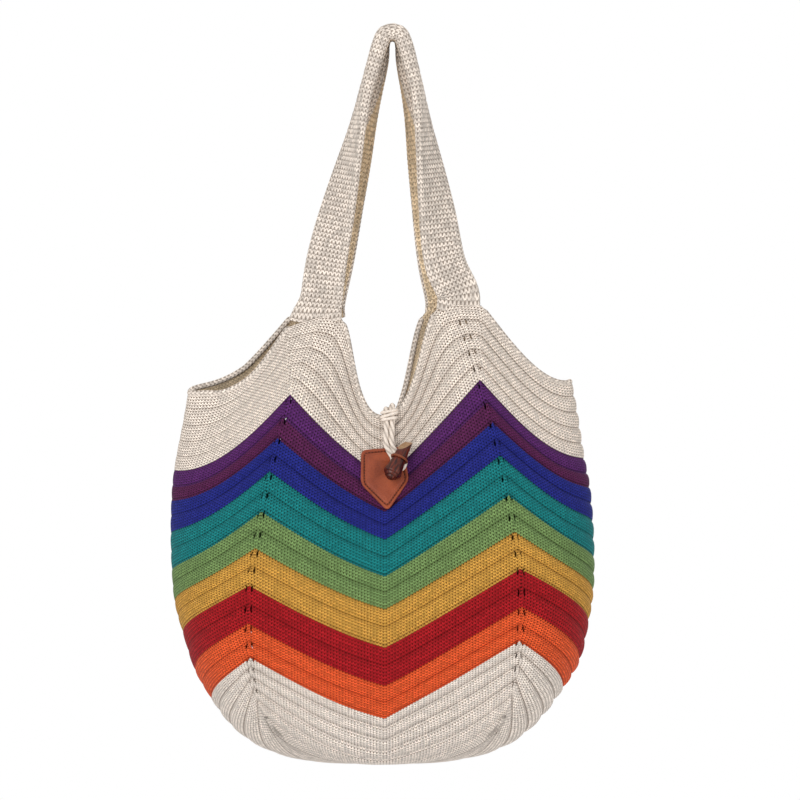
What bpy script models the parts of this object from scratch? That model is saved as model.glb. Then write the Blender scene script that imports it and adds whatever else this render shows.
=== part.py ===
"""Knit tote bag with chevron stripes, two knitted handles and a toggle closing.

The bag hangs from its handles. Metres, +Z up, front towards -Y. The origin is
the underside of the handles' arch, where a hook or a hand carries the bag.
"""
import math

import bmesh
import bpy
import numpy as np
from mathutils import Matrix, Vector

for item in list(bpy.data.objects):
    bpy.data.objects.remove(item, do_unlink=True)

CLEARANCE = 0.0003

# The knitted body, measured at the rim and then at the lower edge of each stripe.
# Drops are below the hang point: peaks carry the handles, the other rows of
# figures follow the valleys of the chevron at the sides and at the middle.
PEAK_DROP = (0.257, 0.330, 0.368, 0.402, 0.437, 0.474, 0.506, 0.544, 0.574)
SIDE_DROP = (0.328, 0.403, 0.430, 0.463, 0.497, 0.528, 0.556, 0.593, 0.620)
MIDDLE_DROP = (0.357, 0.416, 0.445, 0.473, 0.505, 0.538, 0.571, 0.610, 0.639)
HALF_WIDTH = 0.201
WIDTH_SHARE = (0.905, 0.970, 0.990, 1.0, 1.0, 0.990, 0.960, 0.910, 0.836)
SIDE_SHIFT = (0.0050, 0.0045, 0.0035, 0.0030, 0.0025, 0.0020, 0.0008, -0.0010, -0.0015)
PEAK_REACH = (0.065, 0.090, 0.101, 0.109, 0.116, 0.122, 0.127, 0.128, 0.126)

# The base: it turns under at a rounded knee and closes along a crossed seam.
BASE_DROP = 0.6865
BASE_SAG = 2.8
CORNER_DROP = 0.653
CORNER_REACH = 0.106
CORNER_DEPTH = 0.070
ENTRY_INSET = 0.094
ENTRY_FALL = 0.020
KNEE_SPREAD = 0.81
KNEE_FLARE = 0.175
KNEE_SAG = 0.004
KNEE_LIFT = 0.040

# Half depth of the bag at evenly spaced drops, below the handles and at the middle,
# where the closing draws the two faces together.
DEPTH_TOP = 0.250
DEPTH_STEP = 0.050
SHOULDER_DEPTH = (0.016, 0.024, 0.034, 0.047, 0.061, 0.073, 0.082, 0.087, 0.087)
MIDDLE_DEPTH = (0.009, 0.009, 0.009, 0.026, 0.047, 0.065, 0.079, 0.088, 0.089)
PINCH_REACH = 0.085

# The knit itself: wall, garter ridges and the double column of eyelets at each peak.
WALL = 0.003
RIDGE_HEIGHT = 0.0026
TOP_RIDGES = 5
STRIPE_RIDGES = 2
BASE_RIDGES = 6
CREST_SHARE = 0.38
EYELET_START = 0.0019
EYELET_WIDTH = 0.0026
EYELET_RIDGES = 15
EYELET_STRIPE = 4
WALL_COLUMNS = (0.18, 0.45, 0.72)
HANDLE_SEAT = 0.16
ROUND_ROW = 6
STRAIGHT_ROW = 16

# The bag hangs a little askew, as a soft bag does on one hook.
HANG_OFFSET = 0.007
FRONT_LEAN = 0.0085
BACK_LEAN = 0.003
LEAN_REACH = 0.080
BACK_INSET = 0.007
BACK_SHIFT = 0.004
BACK_SWAY = 0.012
BACK_DIP = 0.008
VALLEY_BOW = 0.12

# The mouth: how its edge bulges beside the valley and where the bulge turns, how far its
# columns slide down, how far it hangs to the right, and how its outer edges dip.
MOUTH_BULGE = 1.8
MOUTH_TURN = 0.42
MOUTH_SLIDE = 0.95
MOUTH_SHIFT = 0.004
RIM_DIP = 0.005
FRONT_DIP = 0.007

# The handles, bands with rolled selvedges. Half spread of the arch at each drop below
# the hang point, and how much closer to the middle the back handle hangs.
BAND_WIDTH = 0.040
BAND_FOLD_WIDTH = 0.026
BAND_THICKNESS = 0.0036
SELVEDGE = 0.0066
SELVEDGE_SWEEP = math.radians(160)
SELVEDGE_STEPS = 4
NECK_REACH = 0.75
NECK_LEAST = 0.08
FOLD_THICKNESS = 0.0156
ARCH_DROP = (-FOLD_THICKNESS / 2, -0.0050, 0.003, 0.020, 0.052, 0.107, 0.159, 0.210)
ARCH_SPREAD = (0.0, 0.0072, 0.0112, 0.0165, 0.0250, 0.0362, 0.0465, 0.0560)
ARCH_BACK_INSET = (0.0, 0.0, 0.0010, 0.0055, 0.0085, 0.0085, 0.0065, 0.0060)
FOOT_STRAIGHT = 0.012
FOOT_TAPER = 0.0004
GATHER_START = 0.60
TURN_EASE = 0.8
ARCH_STEPS = 30

# The leather patch, the thong that comes out of it and the toggle on the thong.
PATCH_WIDTH = 0.046
PATCH_SHOULDER = 0.034
PATCH_HEIGHT = 0.064
PATCH_THICKNESS = 0.0022
PATCH_CORNER = 0.004
PATCH_SHARE = 0.86
PATCH_TOP_ROW = 0.55
PATCH_SIDE = -0.003
PATCH_TURN = math.radians(5)
THONG_RADIUS = 0.0011
THONG_SPACING = 0.0026
THONG_SIDE = 0.015
THONG_DROP = 0.018
TOGGLE_LENGTH = 0.038
TOGGLE_THICK = 0.0085
TOGGLE_WAIST = 0.0066
TOGGLE_TIP = 0.0052
TOGGLE_RISE = 0.0145
TOGGLE_TURN = math.radians(62)
TOGGLE_TILT = math.radians(7)
TIP_CUT = math.radians(38)
TIP_TRIM = 0.8
THONG_SEAT = 0.4
THONG_RISE = 0.25

# The toggle's profile: share of its half length, and share of its thickest radius.
THICK_END = (
    (-0.42, 0.93), (-0.58, 1.0), (-0.64, 0.94), (-0.70, 1.0), (-0.84, 0.93), (-0.90, 0.72),
    (-0.93, 0.70), (-1.0, 0.36),
)
WAIST_REACH = 0.12
NECK_PLACE = 0.45
NECK_FLARE = 1.12

# The button loop: two strands of cord, from the back rim to the thong.
CORD_RADIUS = 0.0022
LOOP_STRANDS = 0.0056
LOOP_SIDE = 0.004
STITCH_DEPTH = 0.005
RIM_ROUND = (0.9, 0.7)
LOOP_MEET = 0.45
EYE_UPPER = 0.5
EYE_LOWER = 0.72
CORD_POINTS = 48

STRIPES = (
    ("cream", (0.77, 0.71, 0.60)),
    ("purple", (0.10, 0.02, 0.13)),
    ("blue", (0.02, 0.025, 0.29)),
    ("teal", (0.006, 0.23, 0.23)),
    ("green", (0.18, 0.36, 0.09)),
    ("yellow", (0.75, 0.36, 0.05)),
    ("red", (0.43, 0.008, 0.012)),
    ("orange", (0.83, 0.11, 0.025)),
)
TAN = (0.52, 0.35, 0.17)
LEATHER = (0.43, 0.09, 0.025)
HORN = (0.10, 0.018, 0.006)


def new_collection(name):
    """A collection linked to the scene."""
    collection = bpy.data.collections.new(name)
    bpy.context.scene.collection.children.link(collection)
    return collection


TOTE = new_collection("knit_tote_bag")
CUTTERS = new_collection("cutters")


def finish(name, colour, roughness):
    """A plain Principled material."""
    material = bpy.data.materials.new(name)
    material.use_nodes = True
    shader = material.node_tree.nodes["Principled BSDF"]
    shader.inputs["Base Color"].default_value = (*colour, 1.0)
    shader.inputs["Roughness"].default_value = roughness
    shader.inputs["Metallic"].default_value = 0.0
    return material


def add_object(name, data, materials, collection=TOTE):
    """Link an object that carries the given mesh or curve."""
    item = bpy.data.objects.new(name, data)
    for material in materials:
        item.data.materials.append(material)
    collection.objects.link(item)
    return item


def smooth(values, place, knots=None):
    """Catmull-Rom reading of values at a place among their knots, which count up evenly."""
    knots = knots or range(len(values))
    last = len(values) - 1
    start = 0
    while start < last - 1 and knots[start + 1] <= place:
        start += 1
    gap = knots[start + 1] - knots[start]
    share = (place - knots[start]) / gap

    def slope(index):
        """Rise per step at one knot."""
        low, high = max(index - 1, 0), min(index + 1, last)
        return (values[high] - values[low]) / (knots[high] - knots[low])

    here, there = values[start], values[start + 1]
    rise_here = slope(start) * gap
    rise_there = slope(start + 1) * gap
    return (
        here * (2 * share**3 - 3 * share**2 + 1)
        + rise_here * (share**3 - 2 * share**2 + share)
        + there * (3 * share**2 - 2 * share**3)
        + rise_there * (share**3 - share**2)
    )


def ease(share):
    """Smooth step from 0 to 1."""
    share = min(max(share, 0.0), 1.0)
    return share * share * (3 - 2 * share)


def lean(x, front_share):
    """Rise or fall of a point because the bag hangs askew."""
    amount = BACK_LEAN + (FRONT_LEAN - BACK_LEAN) * front_share
    return amount * math.tanh(x / LEAN_REACH)


def half_depth(x, drop):
    """Half depth of the bag; the knit behind the patch is held flat."""
    place = max(0.0, (drop - DEPTH_TOP) / DEPTH_STEP)
    shoulder = smooth(SHOULDER_DEPTH, place)
    middle = smooth(MIDDLE_DEPTH, place)
    flat = PATCH_WIDTH / 2
    return middle + (shoulder - middle) * ease((abs(x) - flat) / (PINCH_REACH - flat))


STRIPE_EDGES = [0] + [TOP_RIDGES + STRIPE_RIDGES * index for index in range(len(PEAK_DROP) - 1)]
WALL_RIDGES = STRIPE_EDGES[-1]
ALL_RIDGES = WALL_RIDGES + BASE_RIDGES


def wall_point(row, share, along_side, side, face):
    """A point of the wall: share runs from a peak (0) to the next valley (1).

    row counts the ridges from the rim down, side is -1 left or 1 right, face is -1 front
    or 1 back. Towards the mouth the columns slide down, where its edge is most curved.
    """
    reach = smooth(PEAK_REACH, row, STRIPE_EDGES)
    drop = smooth(PEAK_DROP, row, STRIPE_EDGES)
    top = max(0.0, 1.0 - row / TOP_RIDGES)
    if not along_side:
        share += MOUTH_SLIDE * top * share**2 * (1 - share)
    seat = HANDLE_SEAT * top
    run = max(0.0, (share - seat) / (1 - seat))
    middle_drop = smooth(MIDDLE_DROP, row, STRIPE_EDGES)
    shift = -MOUTH_SHIFT * top
    if not along_side:
        shift *= (1 - share**2) ** 2
    if face > 0:
        reach -= BACK_INSET * top
        shift += BACK_SHIFT * top
        middle_drop += BACK_DIP * top
    if along_side:
        turn = share * math.pi / 2
        half = HALF_WIDTH * smooth(WIDTH_SHARE, row, STRIPE_EDGES)
        x = reach + (half - reach) * math.sin(turn)
        shift += (smooth(SIDE_SHIFT, row, STRIPE_EDGES) - shift) * math.sin(turn)
        flat = 1 - min(max((row - ROUND_ROW) / (STRAIGHT_ROW - ROUND_ROW), 0.0), 1.0)
        bend = math.sin(math.sin(run * math.pi / 2) * math.pi / 2)
        fall = (1 - flat) * run + flat * bend
        drop += (smooth(SIDE_DROP, row, STRIPE_EDGES) - drop) * fall
        y = half_depth(reach, drop) * math.cos(turn)
        dip = RIM_DIP + (FRONT_DIP if side < 0 and face < 0 else 0.0)
        drop += dip * top * math.sin(2 * turn)
        facing = math.cos(turn)
    else:
        bulge = MOUTH_BULGE * share * (1 - share) * (share - MOUTH_TURN)
        x = reach * (1 - share + bulge * top)
        if face > 0:
            shift += BACK_SWAY * top * share * (1 - share)
        straight = share + VALLEY_BOW * (share - share**3)
        fall = straight + (ease(run) - straight) * top
        drop += (middle_drop - drop) * fall
        y = half_depth(x, drop)
        facing = 1.0
    front_share = 0.5 - 0.5 * face * facing
    across = side * x - shift
    return Vector((across - HANG_OFFSET, face * y, -drop + lean(across, front_share)))


def base_point(place, share, along_side, side, face):
    """A point of the base: place runs from the last stripe (0) to the crossed seam (1)."""
    start = wall_point(WALL_RIDGES, share, along_side, side, face)
    centre_share = 1 - share
    sag = 1 - centre_share**BASE_SAG
    seam = Vector((
        side * CORNER_REACH * centre_share - HANG_OFFSET,
        face * CORNER_DEPTH * centre_share,
        -(CORNER_DROP + (BASE_DROP - CORNER_DROP) * sag),
    ))
    spread = 1 - ENTRY_INSET * share
    reach = start.x + HANG_OFFSET
    entry = Vector((reach * spread - HANG_OFFSET, start.y * spread, start.z - ENTRY_FALL))
    spread = KNEE_SPREAD + KNEE_FLARE * centre_share
    knee_drop = BASE_DROP + KNEE_SAG - (BASE_DROP - CORNER_DROP + KNEE_LIFT) * centre_share**2
    knee = Vector((reach * spread - HANG_OFFSET, start.y * spread, -knee_drop))
    back = 1 - place
    upper = start * back**3 + entry * 3 * back**2 * place
    return upper + knee * 3 * back * place**2 + seam * place**3


def body_point(row, share, along_side, side, face):
    """A point of the knit before its ridges are raised."""
    if row <= WALL_RIDGES:
        return wall_point(row, share, along_side, side, face)
    place = (row - WALL_RIDGES) / BASE_RIDGES
    return base_point(min(place, 1.0), share, along_side, side, face)


def peak_shares():
    """Places of the columns from a peak to a valley, with the eyelets beside the peak."""
    fall = MIDDLE_DROP[EYELET_STRIPE] - PEAK_DROP[EYELET_STRIPE]
    sector = math.hypot(PEAK_REACH[EYELET_STRIPE], fall)
    inner = EYELET_START / sector
    outer = (EYELET_START + EYELET_WIDTH) / sector
    return (0.0, inner, outer, *WALL_COLUMNS, 1.0)


def knit_columns():
    """Columns round the bag, from the front's middle to the right and all the way round."""
    shares = peak_shares()
    columns = []
    quarters = ((1, -1, False), (1, -1, True), (1, 1, True), (1, 1, False))
    quarters += ((-1, 1, False), (-1, 1, True), (-1, -1, True), (-1, -1, False))
    for side, face, along_side in quarters:
        towards_peak = (side * face < 0) != along_side
        order = range(len(shares) - 1)
        if towards_peak:
            order = range(len(shares) - 1, 0, -1)
        for index in order:
            columns.append((index, shares[index], along_side, side, face))
    return columns


def knit_rows():
    """Rows from the rim down: a groove and a crest for each ridge, then the seam."""
    rows = []
    for ridge in range(ALL_RIDGES):
        rows.append((float(ridge), -0.5))
        rows.append((ridge + CREST_SHARE, 0.5))
    rows.append((float(ALL_RIDGES), 0.0))
    return rows


def body_grid():
    """The ridged outer surface of the knit as rows of points."""
    columns = knit_columns()
    rows = knit_rows()
    grid = np.array([
        [body_point(row, *column[1:]) for column in columns] for row, _ in rows
    ])
    around = np.roll(grid, -1, axis=1) - np.roll(grid, 1, axis=1)
    down = np.gradient(grid, axis=0)
    outward = np.cross(down, around)
    outward /= np.linalg.norm(outward, axis=2, keepdims=True) + 1e-12
    for index, (_, height) in enumerate(rows):
        grid[index] += outward[index] * height * RIDGE_HEIGHT
    return grid, columns, rows


def stripe_of(row):
    """Material slot of the knit at a row."""
    if row < TOP_RIDGES or row >= WALL_RIDGES:
        return 0
    return 1 + int((row - TOP_RIDGES) / STRIPE_RIDGES)


def build_body(grid, columns, rows):
    """The whole body as one knitted piece, from the rim to the crossed seam of the base."""
    mesh = bpy.data.meshes.new("bag_body")
    shell = bmesh.new()
    points = [[shell.verts.new(point) for point in line] for line in grid]
    count = len(columns)
    slit = {1, 2}
    for line in range(len(rows) - 1):
        row = rows[line][0]
        eyelet_row = TOP_RIDGES <= row < TOP_RIDGES + EYELET_RIDGES and line % 2 == 0
        for index in range(count):
            after = (index + 1) % count
            if eyelet_row and {columns[index][0], columns[after][0]} == slit:
                continue
            corners = (
                points[line][after], points[line][index],
                points[line + 1][index], points[line + 1][after],
            )
            face = shell.faces.new(corners)
            face.material_index = stripe_of(row)
            face.smooth = True
    bmesh.ops.remove_doubles(shell, verts=shell.verts, dist=0.0001)
    bmesh.ops.dissolve_degenerate(shell, edges=shell.edges, dist=0.00005)
    shell.to_mesh(mesh)
    shell.free()
    materials = [finish("knit_" + name, colour, 0.9) for name, colour in STRIPES]
    body = add_object("bag_body", mesh, materials)
    wall = body.modifiers.new("Wall", "SOLIDIFY")
    wall.thickness = WALL
    wall.offset = -1.0
    wall.use_even_offset = False
    return body


def band_section(width, thickness, roll):
    """Half-turn symmetric outline of a knitted band with a rolled selvedge at each edge."""
    reach = width / 2 - roll / 2
    edge = []
    for step in range(SELVEDGE_STEPS + 1):
        angle = SELVEDGE_SWEEP * (step / SELVEDGE_STEPS - 0.5)
        edge.append((reach + roll / 2 * math.cos(angle), roll / 2 * math.sin(angle)))
    neck = max(reach - roll * NECK_REACH, width * NECK_LEAST)
    half = [(neck, -thickness / 2)] + edge + [(neck, thickness / 2)]
    return half + [(-across, -up) for across, up in half]


def arch_path(side, face, foot):
    """Points of one leg of a handle, from the top of the arch down to its seam."""
    inset = 1.0 if face > 0 else 0.0
    drops = list(ARCH_DROP) + [-foot.z - FOOT_STRAIGHT, -foot.z]
    spreads = [spread - inset * less for spread, less in zip(ARCH_SPREAD, ARCH_BACK_INSET)]
    foot_spread = side * (foot.x + HANG_OFFSET)
    spreads += [foot_spread - FOOT_TAPER, foot_spread]
    path = []
    for step in range(ARCH_STEPS // 2 + 1):
        place = step / (ARCH_STEPS // 2) * (len(drops) - 1)
        drop = smooth(drops, place)
        hang = ease(drop / -foot.z)
        path.append(Vector((side * smooth(spreads, place) - HANG_OFFSET * hang, 0.0, -drop)))
    return path


def build_handle(name, face, feet, materials):
    """One knitted band, sewn to the two peaks of one face, gathered where it hangs."""
    left = arch_path(-1, face, feet[0])
    right = arch_path(1, face, feet[1])
    path = left[::-1] + right[1:]
    last = len(path) - 1
    mesh = bpy.data.meshes.new(name)
    band = bmesh.new()
    rings = []
    for index, centre in enumerate(path):
        tangent = path[min(index + 1, last)] - path[max(index - 1, 0)]
        if index in (0, last):
            tangent = Vector((0, 0, 1 if index == 0 else -1))
        tangent.normalize()
        foot = feet[0] if index <= last // 2 else feet[1]
        height = min(max(1 - centre.z / foot.z, 0.0), 1.0)
        gather = ease((height - GATHER_START) / (1 - GATHER_START))
        turn = math.radians(90) * ease(height) ** TURN_EASE
        level = tangent.cross(Vector((0, -1, 0))).normalized()
        across = level * math.cos(turn) + Vector((0, -1, 0)) * math.sin(turn)
        up = across.cross(tangent).normalized()
        width = BAND_WIDTH + (BAND_FOLD_WIDTH - BAND_WIDTH) * gather
        thickness = BAND_THICKNESS + (FOLD_THICKNESS - BAND_THICKNESS) * gather
        roll = SELVEDGE + (FOLD_THICKNESS - SELVEDGE) * gather
        reach = width / 2 * math.sin(turn) + roll / 2 * math.cos(turn) + CLEARANCE
        apart = abs(foot.y) - SELVEDGE / 2 - CLEARANCE
        away = reach + apart * (1 - ease(height))
        middle = Vector((centre.x, -away, centre.z))
        ring = []
        for along, rise in band_section(width, thickness, roll):
            point = middle + across * along + up * rise
            point.y *= -face
            ring.append(band.verts.new(point))
        rings.append(ring)
    count = len(rings[0])
    for lower, upper in zip(rings, rings[1:]):
        for index in range(count):
            after = (index + 1) % count
            corners = (lower[index], lower[after], upper[after], upper[index])
            band.faces.new(corners).smooth = True
    band.faces.new(rings[0])
    band.faces.new(rings[-1])
    bmesh.ops.recalc_face_normals(band, faces=band.faces)
    band.to_mesh(mesh)
    band.free()
    return add_object(name, mesh, materials)


def handle_feet(grid, columns, face):
    """Where a handle's two ends meet the rim: above the highest rim point under the band."""
    feet = []
    for side in (-1, 1):
        peak = wall_point(0.0, 0.0, False, side, face)
        top = max(point[2] for point, column in zip(grid[0], columns)
                  if column[3:] == (side, face) and abs(point[0] - peak.x) < BAND_WIDTH)
        feet.append(Vector((peak.x, peak.y - face * WALL / 2, top + CLEARANCE)))
    return feet


def middle_column(columns, face):
    """Index of the column that runs down the middle of one face."""
    for index, column in enumerate(columns):
        if column[1] == 1.0 and not column[2] and column[4] == face:
            return index
    raise ValueError("no column at the middle")


def patch_reach(along):
    """Half width of the patch at a distance below its top edge."""
    if along < PATCH_SHOULDER:
        return PATCH_WIDTH / 2 * (PATCH_SHARE + (1 - PATCH_SHARE) * along / PATCH_SHOULDER)
    return PATCH_WIDTH / 2 * (PATCH_HEIGHT - along) / (PATCH_HEIGHT - PATCH_SHOULDER)


def patch_frame(grid, columns):
    """Position and axes of the leather patch, lying on the crests at the front's middle."""
    upper = body_point(TOP_RIDGES * PATCH_TOP_ROW, 1.0, False, 1, -1)
    lower = body_point(TOP_RIDGES + STRIPE_RIDGES, 1.0, False, 1, -1)
    out = Vector((1, 0, 0)).cross(upper - lower).normalized()
    right = Matrix.Rotation(PATCH_TURN, 3, out) @ Vector((1, 0, 0))
    up = out.cross(right)
    upper.x += PATCH_SIDE
    middle = middle_column(columns, -1)
    rise = -1.0
    for line in grid:
        for index in range(middle - 2, middle + 2):
            start, stop = Vector(line[index]), Vector(line[(index + 1) % len(columns)])
            for step in range(11):
                offset = start.lerp(stop, step / 10) - upper
                across, along = offset.dot(right), -offset.dot(up)
                if 0 <= along <= PATCH_HEIGHT and abs(across) <= patch_reach(along):
                    rise = max(rise, offset.dot(out))
    origin = upper + out * (rise + CLEARANCE)
    return Matrix.Translation(origin) @ Matrix((right, up, out)).transposed().to_4x4()


def rounded_corner(previous, corner, following, radius, steps=4):
    """Points of a rounded corner between two straight edges."""
    corner = Vector(corner)
    before = (Vector(previous) - corner).normalized()
    after = (Vector(following) - corner).normalized()
    start, stop = corner + before * radius, corner + after * radius
    points = []
    for step in range(steps + 1):
        share = step / steps
        back = 1 - share
        points.append(start * back * back + corner * 2 * back * share + stop * share * share)
    return points


def build_patch(frame, materials):
    """House-shaped leather patch, point down, with a round hole for the thong."""
    half = PATCH_WIDTH / 2
    outline = (
        (-half * PATCH_SHARE, 0), (half * PATCH_SHARE, 0), (half, -PATCH_SHOULDER),
        (0, -PATCH_HEIGHT), (-half, -PATCH_SHOULDER),
    )
    curve = bpy.data.curves.new("leather_patch", "CURVE")
    curve.dimensions = "2D"
    curve.fill_mode = "BOTH"
    curve.extrude = PATCH_THICKNESS / 2
    edge = []
    for index, corner in enumerate(outline):
        following = outline[(index + 1) % len(outline)]
        edge += rounded_corner(outline[index - 1], corner, following, PATCH_CORNER)
    hole_radius = THONG_SPACING / 2 + THONG_RADIUS + CLEARANCE
    hole = []
    for step in range(16):
        angle = 2 * math.pi * step / 16
        hole.append(Vector((math.cos(angle) * hole_radius + THONG_SIDE,
                            math.sin(angle) * hole_radius - THONG_DROP)))
    for points in (edge, hole):
        spline = curve.splines.new("POLY")
        spline.points.add(len(points) - 1)
        for point, place in zip(spline.points, points):
            point.co = (place.x, place.y, 0.0, 1.0)
        spline.use_cyclic_u = True
    patch = add_object("leather_patch", curve, materials)
    patch.matrix_world = frame @ Matrix.Translation((0, 0, PATCH_THICKNESS / 2))
    return patch


def toggle_frame(frame):
    """Axes of the toggle on the swivel's line: its length points to the cut tip."""
    rise = PATCH_THICKNESS + TOGGLE_RISE
    seat = frame @ Matrix.Translation((THONG_SIDE, -THONG_DROP, rise))
    return seat @ Matrix.Rotation(TOGGLE_TURN, 4, "Z") @ Matrix.Rotation(TOGGLE_TILT, 4, "Y")


def build_toggle(frame, materials):
    """Turned, tapered toggle with a ringed thick end, a waist and a slanted cut tip."""
    half = TOGGLE_LENGTH / 2
    profile = [(half, 0.0), (half, TOGGLE_TIP), (half * NECK_PLACE, TOGGLE_TIP * NECK_FLARE),
               (half * WAIST_REACH, TOGGLE_WAIST), (-half * WAIST_REACH, TOGGLE_WAIST)]
    profile += [(half * place, TOGGLE_THICK * share) for place, share in THICK_END]
    profile.append((-half, 0.0))
    mesh = bpy.data.meshes.new("toggle_button")
    mesh.from_pydata([(radius, 0.0, along) for along, radius in profile],
                     [(index, index + 1) for index in range(len(profile) - 1)], [])
    toggle = add_object("toggle_button", mesh, materials)
    turned = toggle.modifiers.new("Turned", "SCREW")
    turned.axis = "Z"
    turned.steps = 20
    turned.render_steps = 20
    turned.use_merge_vertices = True
    turned.merge_threshold = 0.00005
    turned.use_smooth_shade = True
    seat = toggle_frame(frame)
    toggle.matrix_world = seat @ Matrix.Rotation(math.radians(90), 4, "Y")
    bpy.ops.mesh.primitive_cube_add(size=1.0)
    saw = bpy.context.object
    saw.name = "tip_saw"
    for collection in list(saw.users_collection):
        collection.objects.unlink(saw)
    CUTTERS.objects.link(saw)
    reach = TOGGLE_TIP * 6
    saw.data.transform(Matrix.Diagonal((reach, reach, reach, 1.0)))
    slant = Matrix.Rotation(-TIP_CUT, 4, "Y") @ Matrix.Translation((reach / 2, 0, 0))
    saw.matrix_world = seat @ Matrix.Translation((half - TOGGLE_TIP * TIP_TRIM, 0, 0)) @ slant
    saw.hide_render = True
    saw.display_type = "WIRE"
    cut = toggle.modifiers.new("Slanted tip", "BOOLEAN")
    cut.operation = "DIFFERENCE"
    cut.object = saw
    return toggle


def poly_tube(name, points, radius, materials, resolution=2):
    """A tube with closed ends along a list of points."""
    curve = bpy.data.curves.new(name, "CURVE")
    curve.dimensions = "3D"
    curve.bevel_depth = radius
    curve.bevel_resolution = resolution
    curve.use_fill_caps = True
    spline = curve.splines.new("POLY")
    spline.points.add(len(points) - 1)
    for point, place in zip(spline.points, points):
        point.co = (*place, 1.0)
    return add_object(name, curve, materials)


def build_thong(frame, materials):
    """Leather thong: out of the patch, round the toggle's waist and back in."""
    seat = toggle_frame(frame)
    along = (seat.to_3x3() @ Vector((1, 0, 0))).normalized()
    out = (frame.to_3x3() @ Vector((0, 0, 1))).normalized()
    beside = out.cross(along).normalized()
    ring = TOGGLE_WAIST + THONG_RADIUS + CLEARANCE
    centre = seat.translation
    half_gap = THONG_SPACING / 2
    open_angle = math.asin(half_gap / ring)
    foot = frame @ Vector((THONG_SIDE, -THONG_DROP, PATCH_THICKNESS * THONG_SEAT))
    lift = out * (TOGGLE_RISE * THONG_RISE)
    points = [foot + beside * half_gap, foot + beside * half_gap + lift]
    steps = 20
    for step in range(steps + 1):
        angle = open_angle + (2 * math.pi - 2 * open_angle) * step / steps
        points.append(centre + (beside * math.sin(angle) - out * math.cos(angle)) * ring)
    points += [foot - beside * half_gap + lift, foot - beside * half_gap]
    return poly_tube("toggle_thong", points, THONG_RADIUS, materials)


def through(points, count):
    """Evenly spread places on a smooth curve through the given points."""
    axes = [[point[axis] for point in points] for axis in range(3)]
    last = len(points) - 1
    return [Vector([smooth(axis, last * step / count) for axis in axes])
            for step in range(count + 1)]


def build_loop(frame, grid, columns, materials):
    """Button loop: from the back rim over the front rim, round the thong and back."""
    lift = PATCH_THICKNESS + CLEARANCE + CORD_RADIUS
    bore = THONG_SPACING / 2 + THONG_RADIUS + 2 * CLEARANCE + CORD_RADIUS
    stand = CORD_RADIUS + 2 * CLEARANCE
    out = frame.to_3x3() @ Vector((0, 0, 1))

    def knit_spot(line, face, across):
        """Point of the knit at a row, across metres to the right of its middle."""
        middle = middle_column(columns, face)
        start = Vector(grid[line][middle])
        beside = Vector(grid[line][middle - face if across > 0 else middle + face])
        return start.lerp(beside, across / (beside.x - start.x))

    slope = knit_spot(0, -1, LOOP_SIDE) - knit_spot(0, -1, 2 * LOOP_SIDE)
    rise = abs(slope.z / slope.x) * (LOOP_STRANDS / 2 + CORD_RADIUS)

    def leg(side):
        """One strand, from inside the back rim down to beside the thong."""
        half = side * LOOP_STRANDS / 2
        across = LOOP_SIDE + half
        inside = knit_spot(0, 1, across) - Vector((0, WALL + stand, 0))
        rim = knit_spot(0, -1, across)
        over = rim + Vector((0, WALL / 2, stand + rise))
        turn = rim + Vector((0, -RIM_ROUND[0] * stand, RIM_ROUND[1] * stand + rise))
        lifted = out * (stand + rise / 2)
        crests = [knit_spot(line, -1, across) + lifted for line in (1, 3)]
        entry = LOOP_SIDE - PATCH_SIDE
        crests.append(frame @ Vector((entry + half, CORD_RADIUS, lift)))
        lean_in = (entry + THONG_SIDE) / 2
        top = frame @ Vector((lean_in + half, -THONG_DROP * LOOP_MEET, lift))
        beside = frame @ Vector((THONG_SIDE + side * bore, -THONG_DROP + bore * EYE_UPPER, lift))
        low = bore * EYE_LOWER
        below = frame @ Vector((THONG_SIDE + side * low, -THONG_DROP - low, lift))
        return [inside - Vector((0, 0, STITCH_DEPTH)), inside, over, turn, *crests,
                top, beside, below]

    low = frame @ Vector((THONG_SIDE, -THONG_DROP - bore, lift))
    points = leg(-1) + [low] + leg(1)[::-1]
    return poly_tube("button_loop", through(points, CORD_POINTS), CORD_RADIUS, materials)


def build():
    """Put the bag together."""
    grid, columns, rows = body_grid()
    build_body(grid, columns, rows)
    cream = [finish("knit_band", STRIPES[0][1], 0.9)]
    leather = [finish("leather", LEATHER, 0.55)]
    build_handle("front_handle", -1, handle_feet(grid, columns, -1), cream)
    build_handle("back_handle", 1, handle_feet(grid, columns, 1), cream)
    frame = patch_frame(grid, columns)
    build_patch(frame, leather)
    build_toggle(frame, [finish("horn", HORN, 0.3)])
    build_thong(frame, [finish("thong", LEATHER, 0.6)])
    build_loop(frame, grid, columns, [finish("loop_cord", TAN, 0.85)])
    bpy.context.view_layer.update()


build()
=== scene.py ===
import math

import bmesh
import bpy
import numpy as np
from mathutils import Matrix, Vector


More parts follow.
